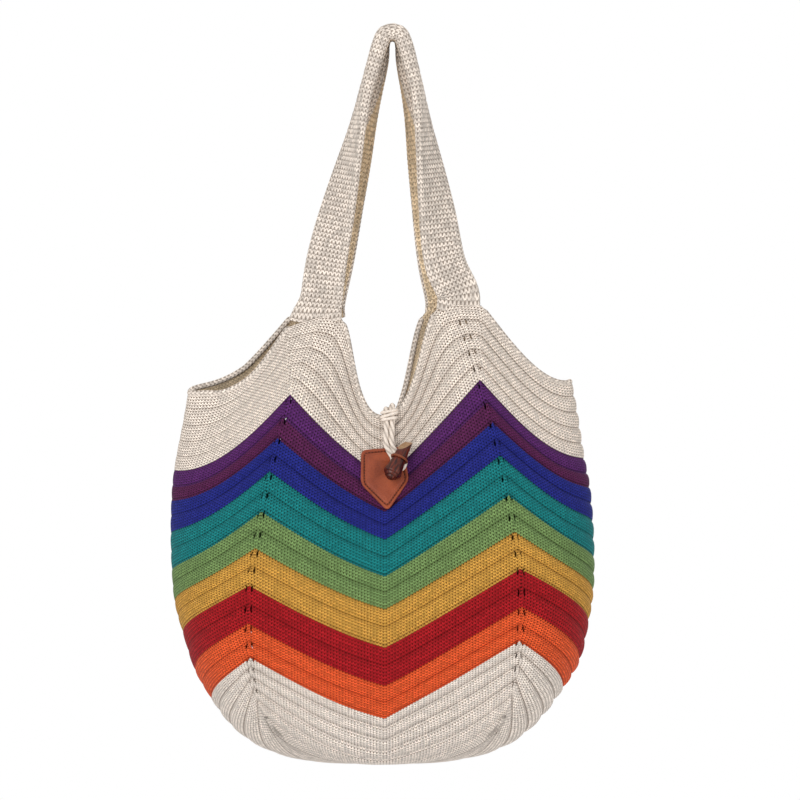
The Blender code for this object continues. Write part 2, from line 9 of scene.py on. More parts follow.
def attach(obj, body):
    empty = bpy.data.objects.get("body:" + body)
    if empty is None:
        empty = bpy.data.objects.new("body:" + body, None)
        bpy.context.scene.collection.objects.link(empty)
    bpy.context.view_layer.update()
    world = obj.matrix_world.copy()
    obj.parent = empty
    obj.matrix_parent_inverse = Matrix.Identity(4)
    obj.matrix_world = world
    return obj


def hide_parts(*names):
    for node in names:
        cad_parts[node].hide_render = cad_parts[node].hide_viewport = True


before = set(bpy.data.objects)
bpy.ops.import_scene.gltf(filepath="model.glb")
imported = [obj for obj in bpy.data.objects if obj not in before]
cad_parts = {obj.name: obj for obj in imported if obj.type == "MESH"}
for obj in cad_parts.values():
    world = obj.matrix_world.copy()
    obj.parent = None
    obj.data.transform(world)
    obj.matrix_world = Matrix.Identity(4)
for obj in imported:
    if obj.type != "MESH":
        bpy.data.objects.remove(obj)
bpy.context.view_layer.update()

# The photograph's set: the bag hangs free in front of white, well above a pale floor, lit by
# a large soft lamp from the upper left, a weaker one from the right, one above, one behind.
scene = bpy.context.scene
scene.view_settings.view_transform = "Standard"

VIEW_DISTANCE = 6.0
VIEW_SPAN = 0.76
eye = bpy.data.cameras.new("studio_camera")
eye.sensor_width = 36.0
eye.lens = eye.sensor_width * VIEW_DISTANCE / VIEW_SPAN


def placed(name, data):
    """An object in the scene that carries a mesh, a curve, a lamp or a camera."""
    item = bpy.data.objects.new(name, data)
    scene.collection.objects.link(item)
    return item


def place_input(tree, node, socket, value):
    """Set a node's input to a link or to a plain value."""
    if isinstance(value, bpy.types.NodeSocket):
        tree.links.new(value, node.inputs[socket])
    elif value is not None:
        node.inputs[socket].default_value = value


def fill(tree, node, **values):
    """Set a node's inputs by name, with a low line for each space in a name."""
    for label, value in values.items():
        place_input(tree, node, label.replace("_", " "), value)
    return node


def add_node(tree, kind, **values):
    """A shader node with the inputs that are given."""
    return fill(tree, tree.nodes.new("ShaderNode" + kind), **values)


def sum_of(tree, operation, first, second=None, third=None):
    """A math node; each number is a value or another node's output."""
    node = add_node(tree, "Math")
    node.operation = operation
    for socket, value in enumerate((first, second, third)):
        place_input(tree, node, socket, value)
    return node.outputs[0]


camera = placed("studio_camera", eye)
camera.location = (0.0072, -VIEW_DISTANCE, -0.3416)
camera.rotation_euler = (math.radians(90), 0, 0)
scene.camera = camera

LAMP_AIM = Vector((0, 0, -0.4))
for name, place, size, power in (
    ("key_lamp", (-1.6, -2.7, 0.7), 2.0, 60),
    ("fill_lamp", (2.2, -2.2, 0.1), 2.2, 26),
    ("top_lamp", (0.2, 0.6, 2.2), 1.6, 15),
    ("back_lamp", (0.6, 2.8, 0.6), 2.2, 42),
):
    lamp = bpy.data.lights.new(name, "AREA")
    lamp.shape = "SQUARE"
    lamp.size = size
    lamp.energy = power
    holder = placed(name, lamp)
    holder.location = place
    holder.rotation_euler = (LAMP_AIM - Vector(place)).to_track_quat("-Z", "Y").to_euler()

air = bpy.data.worlds.new("white_studio")
air.use_nodes = True
scene.world = air
sky = air.node_tree
sky.nodes.clear()
seen = add_node(sky, "LightPath").outputs
mirrored = sum_of(sky, "MAXIMUM", seen["Is Glossy Ray"], seen["Is Transmission Ray"])
pick = add_node(sky, "MixShader", Fac=sum_of(sky, "MAXIMUM", seen["Is Camera Ray"], mirrored))
for socket, colour, strength in ((1, (0.96, 0.98, 1.0), 0.62), (2, (1.0, 1.0, 1.0), 1.0)):
    glow = add_node(sky, "Background", Color=(*colour, 1.0), Strength=strength)
    sky.links.new(glow.outputs[0], pick.inputs[socket])
add_node(sky, "OutputWorld", Surface=pick.outputs[0])

FLOOR_HALF, FLOOR_DROP = 2.5, 0.96
ground_mesh = bpy.data.meshes.new("studio_floor")
ground_mesh.from_pydata([(x * FLOOR_HALF, y * FLOOR_HALF, -FLOOR_DROP) for x, y in
                         ((-1, -1), (1, -1), (1, 1), (-1, 1))], [], [(0, 1, 2, 3)])
paint = bpy.data.materials.new("pale_floor")
paint.use_nodes = True
fill(paint.node_tree, paint.node_tree.nodes["Principled BSDF"],
     Base_Color=(0.9, 0.9, 0.9, 1), Roughness=0.9)
ground_mesh.materials.append(paint)
floor = placed("studio_floor", ground_mesh)


# The knitted body: one tube of garter ridges and plain rows, shaped by increases at four
# eyelet columns, so that every row runs in a chevron. It is worked from the rim down in
# cream and seven colours, and closes along a crossed seam under the base.
PEAK_DROP = (0.257, 0.330, 0.368, 0.402, 0.437, 0.474, 0.506, 0.544, 0.574)
SIDE_DROP = (0.328, 0.403, 0.430, 0.463, 0.497, 0.528, 0.556, 0.593, 0.620)
MIDDLE_DROP = (0.357, 0.416, 0.445, 0.473, 0.505, 0.538, 0.571, 0.610, 0.639)
HALF_WIDTH = 0.201
WIDTH_SHARE = (0.905, 0.970, 0.990, 1.0, 1.0, 0.990, 0.960, 0.910, 0.836)
SIDE_SHIFT = (0.0050, 0.0045, 0.0035, 0.0030, 0.0025, 0.0020, 0.0008, -0.0010, -0.0015)
PEAK_REACH = (0.065, 0.090, 0.101, 0.109, 0.116, 0.122, 0.127, 0.128, 0.126)
SHOULDER_DEPTH = (0.016, 0.024, 0.034, 0.047, 0.061, 0.073, 0.082, 0.087, 0.087)
MIDDLE_DEPTH = (0.009, 0.009, 0.009, 0.026, 0.047, 0.065, 0.079, 0.088, 0.089)
DEPTH_TOP, DEPTH_STEP = 0.250, 0.050
PATCH_HALF, PINCH_REACH = 0.023, 0.085
BASE_DROP, BASE_SAG = 0.6865, 2.8
CORNER_DROP, CORNER_REACH, CORNER_DEPTH = 0.653, 0.106, 0.070
ENTRY_INSET, ENTRY_FALL = 0.094, 0.020
KNEE_SPREAD, KNEE_FLARE, KNEE_SAG, KNEE_LIFT = 0.81, 0.175, 0.004, 0.040
TOP_RIDGES, STRIPE_RIDGES, BASE_RIDGES = 5, 2, 6
STRIPE_EDGES = [0] + [TOP_RIDGES + STRIPE_RIDGES * count for count in range(8)]
WALL_RIDGES = STRIPE_EDGES[-1]
ALL_RIDGES = WALL_RIDGES + BASE_RIDGES
HANDLE_SEAT, SIDE_SEAT, VALLEY_BOW = 0.16, 0.133, 0.12
ROUND_ROW, STRAIGHT_ROW = 6, 16
BACK_INSET, BACK_SHIFT, BACK_SWAY, BACK_DIP = 0.007, 0.004, 0.012, 0.008
BACK_STAND, STAND_START = 0.0075, 0.4
FRONT_STAND = (0.0, -0.0025, -0.0060, 0.0015, 0.0085, 0.0060, 0.0)
MOUTH_BULGE, MOUTH_TURN, MOUTH_SHIFT, RIM_DIP, FRONT_DIP = 1.8, 0.42, 0.004, 0.005, 0.007
HANG_OFFSET, FRONT_LEAN, BACK_LEAN, LEAN_REACH = 0.007, 0.0085, 0.003, 0.080
WALL = 0.003
WALE, COURSES = 0.0031, 6
SLIT_START, SLIT_WIDTH, SLIT_RIDGES, SLIT_SHARE = 0.0019, 0.0026, 15, 0.40
RIDGE_PLACES = (0.0, 0.08, 0.20, 0.40, 0.60, 0.80, 0.92)
RIDGE_SHAPE = (-0.62, -0.12, 0.28, 0.50, 0.40, 0.12, -0.22)
RIDGE_HEIGHT, RIDGE_FACE, RIDGE_LEFT, RIDGE_RIGHT, RIDGE_FADE = 0.0024, 1.20, 0.90, 1.30, 0.60
SLIT_PROBE, SLIT_REST, SLIT_ROUND = 0.02, 0.10, 0.6
RIDGE_FAINT, RIPPLE_SEED, RIPPLE_WAVES, RIPPLE = 0.35, 7, 5, 0.0006
SECTOR_COLUMNS = 28
knit_rows = np.array([ridge + place for ridge in range(ALL_RIDGES) for place in RIDGE_PLACES]
                     + [float(ALL_RIDGES)])
ridge_height = np.array(list(RIDGE_SHAPE) * ALL_RIDGES + [0.0])


def reading(values, place, knots=None):
    """Smooth reading of a row of measures at any places among their knots."""
    values = np.asarray(values, dtype=float)
    knots = np.arange(len(values), dtype=float) if knots is None else np.asarray(knots, float)
    index = np.arange(len(values))
    low, high = np.maximum(index - 1, 0), np.minimum(index + 1, len(values) - 1)
    slope = (values[high] - values[low]) / (knots[high] - knots[low])
    place = np.asarray(place, dtype=float)
    at = np.clip(np.searchsorted(knots, place, side="right") - 1, 0, len(values) - 2)
    gap = knots[at + 1] - knots[at]
    part = (place - knots[at]) / gap
    square, cube = part**2, part**3
    return (values[at] * (2 * cube - 3 * square + 1) + slope[at] * gap * (cube - 2 * square + part)
            + values[at + 1] * (3 * square - 2 * cube) + slope[at + 1] * gap * (cube - square))


def ease(share):
    """Smooth step from 0 to 1."""
    share = np.clip(share, 0.0, 1.0)
    return share * share * (3 - 2 * share)


def half_depth(across, drop):
    """Half depth of the bag at a place of its front or back."""
    place = np.maximum(0.0, (drop - DEPTH_TOP) / DEPTH_STEP)
    shoulder, middle = reading(SHOULDER_DEPTH, place), reading(MIDDLE_DEPTH, place)
    outside = (np.abs(across) - PATCH_HALF) / (PINCH_REACH - PATCH_HALF)
    return middle + (shoulder - middle) * ease(outside)


def wall_points(row, share, along_side, side, face):
    """Places on the wall: share runs from a peak to the next valley of the chevron."""
    row = np.minimum(row, WALL_RIDGES)
    reach = reading(PEAK_REACH, row, STRIPE_EDGES)
    drop = reading(PEAK_DROP, row, STRIPE_EDGES)
    low = reading(MIDDLE_DROP, row, STRIPE_EDGES)
    top = np.maximum(0.0, 1.0 - row / TOP_RIDGES)
    seat = (SIDE_SEAT if along_side and side > 0 else HANDLE_SEAT) * top
    run = np.maximum(0.0, (share - seat) / (1 - seat))
    shift = -MOUTH_SHIFT * top * (1.0 if along_side else (1 - share**2) ** 2)
    if face > 0:
        reach = reach - BACK_INSET * top
        shift = shift + BACK_SHIFT * top
        low = low + BACK_DIP * top
    if along_side:
        turn = share * math.pi / 2
        half = HALF_WIDTH * reading(WIDTH_SHARE, row, STRIPE_EDGES)
        x = reach + (half - reach) * np.sin(turn)
        shift = shift + (reading(SIDE_SHIFT, row, STRIPE_EDGES) - shift) * np.sin(turn)
        flat = 1 - np.clip((row - ROUND_ROW) / (STRAIGHT_ROW - ROUND_ROW), 0.0, 1.0)
        bend = np.sin(np.sin(run * math.pi / 2) * math.pi / 2)
        fall = (1 - flat) * run + flat * bend
        drop = drop + (reading(SIDE_DROP, row, STRIPE_EDGES) - drop) * fall
        y = half_depth(reach, drop) * np.cos(turn)
        dip = RIM_DIP + (FRONT_DIP if side < 0 and face < 0 else 0.0)
        drop = drop + dip * top * np.sin(2 * turn)
        facing = np.cos(turn)
    else:
        bulge = MOUTH_BULGE * share * (1 - share) * (share - MOUTH_TURN)
        x = reach * (1 - share + bulge * top)
        if face > 0:
            shift = shift + BACK_SWAY * top * share * (1 - share)
        straight = share + VALLEY_BOW * (share - share**3)
        fall = straight + (ease(run) - straight) * top
        drop = drop + (low - drop) * fall
        y = half_depth(x, drop)
        facing = 1.0
    amount = BACK_LEAN + (FRONT_LEAN - BACK_LEAN) * (0.5 - 0.5 * face * facing)
    across = side * x - shift
    z = -drop + amount * np.tanh(across / LEAN_REACH)
    if along_side and side < 0 and face > 0:
        rise = np.clip((share - STAND_START) / (1 - STAND_START), 0, 1)
        z = z + BACK_STAND * np.sin(rise * math.pi) * top**2
    if along_side and side < 0 and face < 0:
        z = z + reading(FRONT_STAND, share * (len(FRONT_STAND) - 1)) * top**2
    return np.stack([across - HANG_OFFSET, face * y + 0 * z, z], axis=-1)


def body_points(row, share, along_side, side, face):
    """Places on the whole body: the wall, then the base down to its crossed seam."""
    start = wall_points(row, share, along_side, side, face)
    place = np.clip((row - WALL_RIDGES) / BASE_RIDGES, 0.0, 1.0)[..., None]
    centre = 1 - share
    seam = np.stack([side * CORNER_REACH * centre - HANG_OFFSET, face * CORNER_DEPTH * centre,
                     -CORNER_DROP - (BASE_DROP - CORNER_DROP) * (1 - centre**BASE_SAG)], -1)
    reach = start[..., 0] + HANG_OFFSET
    spread = 1 - ENTRY_INSET * share
    entry = np.stack([reach * spread - HANG_OFFSET, start[..., 1] * spread,
                      start[..., 2] - ENTRY_FALL], -1)
    spread = KNEE_SPREAD + KNEE_FLARE * centre
    lift = (BASE_DROP - CORNER_DROP + KNEE_LIFT) * centre**2
    knee = np.stack([reach * spread - HANG_OFFSET, start[..., 1] * spread,
                     -(BASE_DROP + KNEE_SAG - lift)], -1)
    back = 1 - place
    upper = start * back**3 + entry * 3 * back**2 * place
    return upper + knee * 3 * back * place**2 + seam * place**3


def parted(row, side, face):
    """Whether the eyelet column of a peak has its openings at a ridge."""
    first = 1 if side > 0 and face < 0 else TOP_RIDGES
    last = TOP_RIDGES + SLIT_RIDGES + (3 if face < 0 else 0)
    return (row >= first) & (row < last)


def slit_edges(row, along_side, side, face):
    """Shares of the two edges of the eyelet column, which part at each eyelet."""
    step = np.full_like(row, SLIT_PROBE)
    here = body_points(row, 0 * step, along_side, side, face)
    there = body_points(row, step, along_side, side, face)
    rate = np.maximum(np.linalg.norm(there - here, axis=-1) / SLIT_PROBE, 0.02)
    inside = (row % 1.0) / SLIT_SHARE
    parts = parted(row, side, face) & (inside <= 1.0)
    gape = np.where(parts, np.sin(np.clip(inside, 0, 1) * math.pi) ** SLIT_ROUND, 0.0)
    half = (SLIT_REST + (1 - SLIT_REST) * gape) * SLIT_WIDTH / 2
    centre = SLIT_START + SLIT_WIDTH / 2
    return (centre - half) / rate, (centre + half) / rate


quarters = [(1, -1, False), (1, -1, True), (1, 1, True), (1, 1, False),
            (-1, 1, False), (-1, 1, True), (-1, -1, True), (-1, -1, False)]
sectors, wales, strengths, gates = [], [], [], []
for side, face, along_side in quarters:
    inner, outer = slit_edges(knit_rows, along_side, side, face)
    rest = np.linspace(0.0, 1.0, SECTOR_COLUMNS - 1)[1:]
    shares = np.concatenate([np.zeros((len(knit_rows), 1)), inner[:, None], outer[:, None],
                             outer[:, None] + (1 - outer[:, None]) * rest[None, :]], axis=1)
    rows = np.repeat(knit_rows[:, None], shares.shape[1], axis=1)
    patch = body_points(rows, shares, along_side, side, face)
    steps = np.linalg.norm(np.diff(patch, axis=1), axis=2)
    from_valley = np.concatenate([np.cumsum(steps[:, ::-1], axis=1)[:, ::-1],
                                  np.zeros((len(knit_rows), 1))], axis=1)
    strong = RIDGE_FACE + 0 * shares
    if along_side:
        strong = (RIDGE_LEFT if side < 0 else RIDGE_RIGHT) - RIDGE_FADE * shares**2
    strong = strong + 0.2 * ease((rows - WALL_RIDGES + 1) / 2)
    if face < 0 and side < 0 and along_side:
        below = ease((rows - TOP_RIDGES + 1) / 2)
        strong = strong * (RIDGE_FAINT + (1 - RIDGE_FAINT) * below)
    strong = strong * ease(rows / 0.8) * (1 - ease((rows - ALL_RIDGES + 3.0) / 3))
    gate = np.zeros(shares.shape[1] - 1, bool)
    gate[1] = True
    if (side * face < 0) != along_side:
        patch, from_valley, strong = patch[:, ::-1], from_valley[:, ::-1], strong[:, ::-1]
        gate = gate[::-1]
    sectors.append(patch)
    wales.append(from_valley / WALE)
    strengths.append(strong)
    gates.append(gate)

surface = np.concatenate([patch[:, :-1] for patch in sectors], axis=1)
strength = np.concatenate([strong[:, :-1] for strong in strengths], axis=1)
around = np.roll(surface, -1, axis=1) - np.roll(surface, 1, axis=1)
outward = np.cross(np.gradient(surface, axis=0), around)
outward /= np.linalg.norm(outward, axis=2, keepdims=True) + 1e-12
knit = surface + outward * (ridge_height[:, None] * strength * RIDGE_HEIGHT)[..., None]
ripple = np.random.default_rng(RIPPLE_SEED).normal(0, 1, (RIPPLE_WAVES, 3))
for wave, (phase, tilt, lift) in enumerate(ripple):
    angle = knit @ np.array([18 + 9 * wave, 14 * tilt, 16 + 6 * lift]) + phase * 3
    fade = ease((knit_rows - 1.5) / 4)[:, None] * ease((ALL_RIDGES - knit_rows) / 3)[:, None]
    knit += outward * (np.sin(angle) * fade * RIPPLE)[..., None]


def mark_stitches(mesh, marks):
    """Write the stitch counts at every corner of a mesh's faces as its map."""
    marks = np.asarray(marks, dtype=np.float32).ravel()
    mesh.uv_layers.new(name="stitches").uv.foreach_set("vector", marks)


row_count, ring = knit.shape[:2]
index = np.arange(row_count * ring).reshape(row_count, ring).tolist()
faces, knit_marks = [], []
column = 0
for sector, (counts, gate) in enumerate(zip(wales, gates)):
    for step in range(counts.shape[1] - 1):
        after = (column + 1) % ring
        for line in range(row_count - 1):
            inside = knit_rows[line] % 1.0
            cut = parted(knit_rows[line], *quarters[sector][:2])
            if gate[step] and cut and inside < SLIT_SHARE - 0.01:
                continue
            below = line + 1
            faces.append((index[line][after], index[line][column],
                          index[below][column], index[below][after]))
            upper, lower = knit_rows[line] * COURSES, knit_rows[below] * COURSES
            knit_marks += [(counts[line, step + 1], upper), (counts[line, step], upper),
                           (counts[below, step], lower), (counts[below, step + 1], lower)]
        column += 1
body_mesh = bpy.data.meshes.new("knit_body")
body_mesh.from_pydata(knit.reshape(-1, 3).tolist(), [], faces)
mark_stitches(body_mesh, knit_marks)
shell = bmesh.new()
shell.from_mesh(body_mesh)
bmesh.ops.remove_doubles(shell, verts=shell.verts, dist=0.0001)
bmesh.ops.dissolve_degenerate(shell, edges=shell.edges, dist=0.00005)
for facet in shell.faces:
    facet.smooth = True
shell.to_mesh(body_mesh)
shell.free()
body = placed("knit_body", body_mesh)
wall = body.modifiers.new("Wall", "SOLIDIFY")
wall.thickness = WALL
wall.offset = -1.0
# The inner faces of the wall take the second finish, which carries the painted shade of the
# inside.
wall.material_offset = 1

CREAM = (0.790, 0.690, 0.600)
STRIPES = (
    (TOP_RIDGES, (0.088, 0.019, 0.118)), (TOP_RIDGES + 1, (0.086, 0.014, 0.064)),
    (TOP_RIDGES + 2, (0.015, 0.021, 0.195)), (TOP_RIDGES + 4, (0.008, 0.180, 0.185)),
    (TOP_RIDGES + 6, (0.152, 0.245, 0.083)), (TOP_RIDGES + 8, (0.560, 0.290, 0.052)),
    (TOP_RIDGES + 10, (0.330, 0.008, 0.012)), (TOP_RIDGES + 12, (0.700, 0.092, 0.024)),
    (WALL_RIDGES, (0.760, 0.675, 0.600)),
)


def group_of(name, inputs, outputs):
    """An empty shader node group; a colour has four parts, a place three, a number one."""
    tree = bpy.data.node_groups.new(name, "ShaderNodeTree")
    for side, sockets in (("INPUT", inputs), ("OUTPUT", outputs)):
        for label, value in sockets.items():
            kind = {1: "Float", 3: "Vector", 4: "Color"}[np.size(value)]
            socket = tree.interface.new_socket(label, in_out=side, socket_type="NodeSocket" + kind)
            socket.default_value = value
    given = tree.nodes.new("NodeGroupInput").outputs
    return tree, given, tree.nodes.new("NodeGroupOutput")


def add_group(tree, group, **values):
    """A node group placed in a material, with its inputs by name."""
    node = add_node(tree, "Group")
    node.node_tree = group
    return fill(tree, node, **values).outputs


def mixed(tree, amount, first, second, blend="MIX"):
    """A colour mix node."""
    node = add_node(tree, "Mix")
    node.data_type = "RGBA"
    node.blend_type = blend
    place_input(tree, node, "Factor", amount)
    place_input(tree, node, 6, first)
    place_input(tree, node, 7, second)
    return node.outputs[2]


stitches, given, made = group_of(
    "plain_stitches", {"Places": (0.0, 0.0, 0.0), "Slant": 0.5},
    {"Course": 0.0, "Height": 0.0, "Gap": 0.0, "Chance": 0.0},
)
split = add_node(stitches, "SeparateXYZ", Vector=given["Places"])
off_centre = sum_of(stitches, "ABSOLUTE", sum_of(stitches, "MULTIPLY_ADD", sum_of(
    stitches, "FRACT", split.outputs[0]), 2.0, -1.0))
course = sum_of(stitches, "MULTIPLY_ADD", off_centre, given["Slant"], split.outputs[1])
off_row = sum_of(stitches, "PINGPONG", course, 0.5)
cell = add_node(stitches, "CombineXYZ", X=sum_of(stitches, "FLOOR", split.outputs[0]),
                Y=sum_of(stitches, "FLOOR", course))
dice = add_node(stitches, "TexWhiteNoise")
dice.noise_dimensions = "2D"
stitches.links.new(cell.outputs[0], dice.inputs["Vector"])


def round_gap(tree, off_middle, off_row, width, height):
    """An oval mark, full in its middle, at every place where both distances are nil."""
    across = sum_of(tree, "POWER", sum_of(tree, "DIVIDE", off_middle, width), 2.0)
    up = sum_of(tree, "POWER", sum_of(tree, "DIVIDE", off_row, height), 2.0)
    outside = sum_of(tree, "ADD", across, up)
    mark = sum_of(tree, "MULTIPLY", sum_of(tree, "SUBTRACT", 1.0, outside), 2.2)
    return sum_of(tree, "MINIMUM", sum_of(tree, "MAXIMUM", mark, 0.0), 1.0)


# The gap mask sets the stitch's bump and also its painted shade: the yarn darkens there, in the
# holes between and inside the wales and along the creases between rows.
middle_gap = round_gap(stitches, off_centre, off_row, 0.48, 0.34)
off_side = sum_of(stitches, "SUBTRACT", 1.0, off_centre)
side_gap = round_gap(stitches, off_side, off_row, 0.24, 0.26)
crease = sum_of(stitches, "POWER", sum_of(stitches, "SUBTRACT", 1.0, sum_of(
    stitches, "MULTIPLY", off_row, 2.0)), 2.2)
gap = sum_of(stitches, "ADD", sum_of(stitches, "MULTIPLY", crease, 0.42), sum_of(
    stitches, "MULTIPLY_ADD", side_gap, 0.45, middle_gap))
uneven = sum_of(stitches, "MULTIPLY_ADD", dice.outputs["Value"], 0.75, 0.55)
gap = sum_of(stitches, "MINIMUM", sum_of(stitches, "MULTIPLY", gap, uneven), 1.0)
fill(stitches, made, Course=course, Height=sum_of(stitches, "SUBTRACT", 1.0, gap), Gap=gap,
     Chance=dice.outputs["Value"])
yarn, given, made = group_of(
    "cotton_yarn",
    {"Colour": (0.8, 0.7, 0.6, 1.0), "Gap": 0.0, "Chance": 0.5, "Depth": 0.5, "Fuzz": 900.0},
    {"Colour": (0.0, 0.0, 0.0, 1.0), "Fibre": 0.0},
)
where = add_node(yarn, "TexCoord").outputs["Object"]
fibre = add_node(yarn, "TexNoise", Vector=where, Scale=given["Fuzz"], Detail=3.0)
cloud = add_node(yarn, "TexNoise", Vector=where, Scale=22.0, Detail=2.0)
# Painted shade: the colour is multiplied towards dark brown where the gap mask is, as far as the
# depth allows.
shade = sum_of(yarn, "MULTIPLY", sum_of(yarn, "POWER", given["Gap"], 1.2), given["Depth"])
level = sum_of(yarn, "MULTIPLY_ADD", given["Chance"], 0.50, 0.75)
for noise, spread in ((fibre, 0.75), (cloud, 0.14)):
    off = sum_of(yarn, "SUBTRACT", noise.outputs["Fac"], 0.5)
    level = sum_of(yarn, "MULTIPLY_ADD", off, spread, level)
scaled = add_node(yarn, "VectorMath")
scaled.operation = "SCALE"
place_input(yarn, scaled, 0, given["Colour"])
place_input(yarn, scaled, "Scale", level)
hole = mixed(yarn, 1.0, scaled.outputs[0], (0.14, 0.10, 0.07, 1.0), "MULTIPLY")
fill(yarn, made, Colour=mixed(yarn, shade, scaled.outputs[0], hole), Fibre=fibre.outputs["Fac"])


def new_finish(name, roughness, sheen=0.0, gloss=0.5):
    """A material with its Principled shader, ready for its pattern nodes."""
    finish = bpy.data.materials.new(name)
    finish.use_nodes = True
    tree = finish.node_tree
    shader = fill(tree, tree.nodes["Principled BSDF"], Roughness=roughness, Sheen_Weight=sheen,
                  Sheen_Roughness=0.5, Specular_IOR_Level=gloss)
    return finish, tree, shader


def bumped(tree, shader, height, distance):
    """A bump node that feeds the shader's normal."""
    node = add_node(tree, "Bump", Height=height, Distance=distance)
    fill(tree, shader, Normal=node.outputs["Normal"])


def ramp_of(tree, amount, stops, kind="LINEAR"):
    """A colour ramp through the given places and colours."""
    node = add_node(tree, "ValToRGB", Fac=amount)
    node.color_ramp.interpolation = kind
    parts = node.color_ramp.elements
    for count, (place, colour) in enumerate(stops):
        stop = parts[count] if count < 2 else parts.new(place)
        stop.position = place
        stop.color = (*colour, 1)
    return node.outputs["Color"]


def stitched(name):
    """A knit material: its shader, the counts of its map and the pattern of its stitches."""
    finish, tree, shader = new_finish(name, 0.9, 0.02, 0.12)
    counts = add_node(tree, "UVMap")
    counts.uv_map = "stitches"
    pattern = add_group(tree, stitches, Places=counts.outputs["UV"])
    return finish, tree, shader, counts.outputs["UV"], pattern


def spun(tree, shader, stitch, colour, gap, depth, rise):
    """Cotton yarn with painted shade that darkens it between the stitches, and fuzzy on them."""
    cloth = add_group(tree, yarn, Colour=colour, Gap=gap, Chance=stitch["Chance"], Depth=depth)
    fill(tree, shader, Base_Color=cloth["Colour"])
    height = sum_of(tree, "MULTIPLY_ADD", cloth["Fibre"], 0.25, stitch["Height"])
    bumped(tree, shader, height, rise)


STRIPE_LEAD, GROOVE_HALF, GROOVE_SHADE = 0.04, 0.075, 0.34


def knit_finish(name, cream, darker, depth):
    """Striped knit: the course number picks the yarn; the stitch raises it and paints shade into
    its gaps, and a painted shade line follows the groove of each ridge.
    """
    finish, tree, shader, counts, stitch = stitched(name)
    counted = sum_of(tree, "DIVIDE", sum_of(tree, "FLOOR", stitch["Course"]),
                     float(ALL_RIDGES * COURSES))
    stops = [((start - STRIPE_LEAD) / ALL_RIDGES, [part * darker for part in colour])
             for start, colour in STRIPES]
    bands = ramp_of(tree, counted, [(0.0, cream)] + stops, "CONSTANT")
    # Painted shade: a thin dark line along the groove under each ridge, added to the stitches'
    # painted shade.
    ridge = sum_of(tree, "DIVIDE", add_node(tree, "SeparateXYZ", Vector=counts).outputs[1],
                   float(COURSES))
    off_groove = sum_of(tree, "DIVIDE", sum_of(tree, "PINGPONG", ridge, 0.5), GROOVE_HALF)
    line = sum_of(tree, "SUBTRACT", 1.0, sum_of(tree, "MINIMUM", off_groove, 1.0))
    groove_and_gap_shade = sum_of(tree, "MULTIPLY_ADD", line, GROOVE_SHADE, stitch["Gap"])
    spun(tree, shader, stitch, bands, sum_of(tree, "MINIMUM", groove_and_gap_shade, 1.0), depth, 0.0006)
    return finish


# Painted shade: the inside faces of the wall take the same cream and stripes made tan and darker,
# standing in for the shade inside the bag; the sides of the handles that face each other take this
# tan too.
SHADED_INSIDE_TAN = (0.760, 0.600, 0.410)
body_mesh.materials.append(knit_finish("striped_knit", CREAM, 1.04, 1.0))
body_mesh.materials.append(knit_finish("striped_knit_inside_painted_shade", SHADED_INSIDE_TAN, 0.7, 0.6))
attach(body, "bag")
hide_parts("bag_body")


# The edging of the mouth: the first rows of the knit roll over into a slim edge of chain
# stitches, which runs along both faces and over the two sides, from handle to handle.
ROLL, ROLL_STEP, ROLL_CORNERS, ROLL_TAPER, ROLL_END = 0.0027, 0.002, 16, 0.006, 0.35
CHAIN_WALES, CHAIN_COURSE = 4, 0.0042


def lengths_of(path):
    """Length from the start of a path to each of its points."""
    return np.concatenate([[0], np.cumsum(np.linalg.norm(np.diff(path, axis=0), axis=1))])


def unit(vectors):
    """The same directions, each with a length of one."""
    return vectors / np.linalg.norm(vectors, axis=-1, keepdims=True)


def stepped(path, at):
    """Points of a path at the given lengths from its start."""
    lengths = lengths_of(path)
    return np.stack([np.interp(at, lengths, path[:, axis]) for axis in range(3)], axis=1)


def full_turn(steps):
    """The angles of a full turn in equal steps."""
    return np.arange(steps) / steps * 2 * math.pi


def tube_faces(rows, sections):
    """The point numbers of a tube, row by row, and the quads between its rows."""
    grid = np.arange(rows * sections).reshape(rows, sections)
    beside = np.roll(grid, -1, axis=1)
    return grid, np.stack([grid[:-1], beside[:-1], beside[1:], grid[1:]], axis=-1)


def tube_mesh(name, points):
    """A closed tube through rows of points, with a face on each end."""
    grid, quads = tube_faces(*points.shape[:2])
    mesh = bpy.data.meshes.new(name)
    mesh.from_pydata(points.reshape(-1, 3).tolist(), [], quads.reshape(-1, 4).tolist()
                     + [grid[0].tolist()[::-1], grid[-1].tolist()])
    mesh.polygons.foreach_set("use_smooth", [True] * len(mesh.polygons))
    return mesh


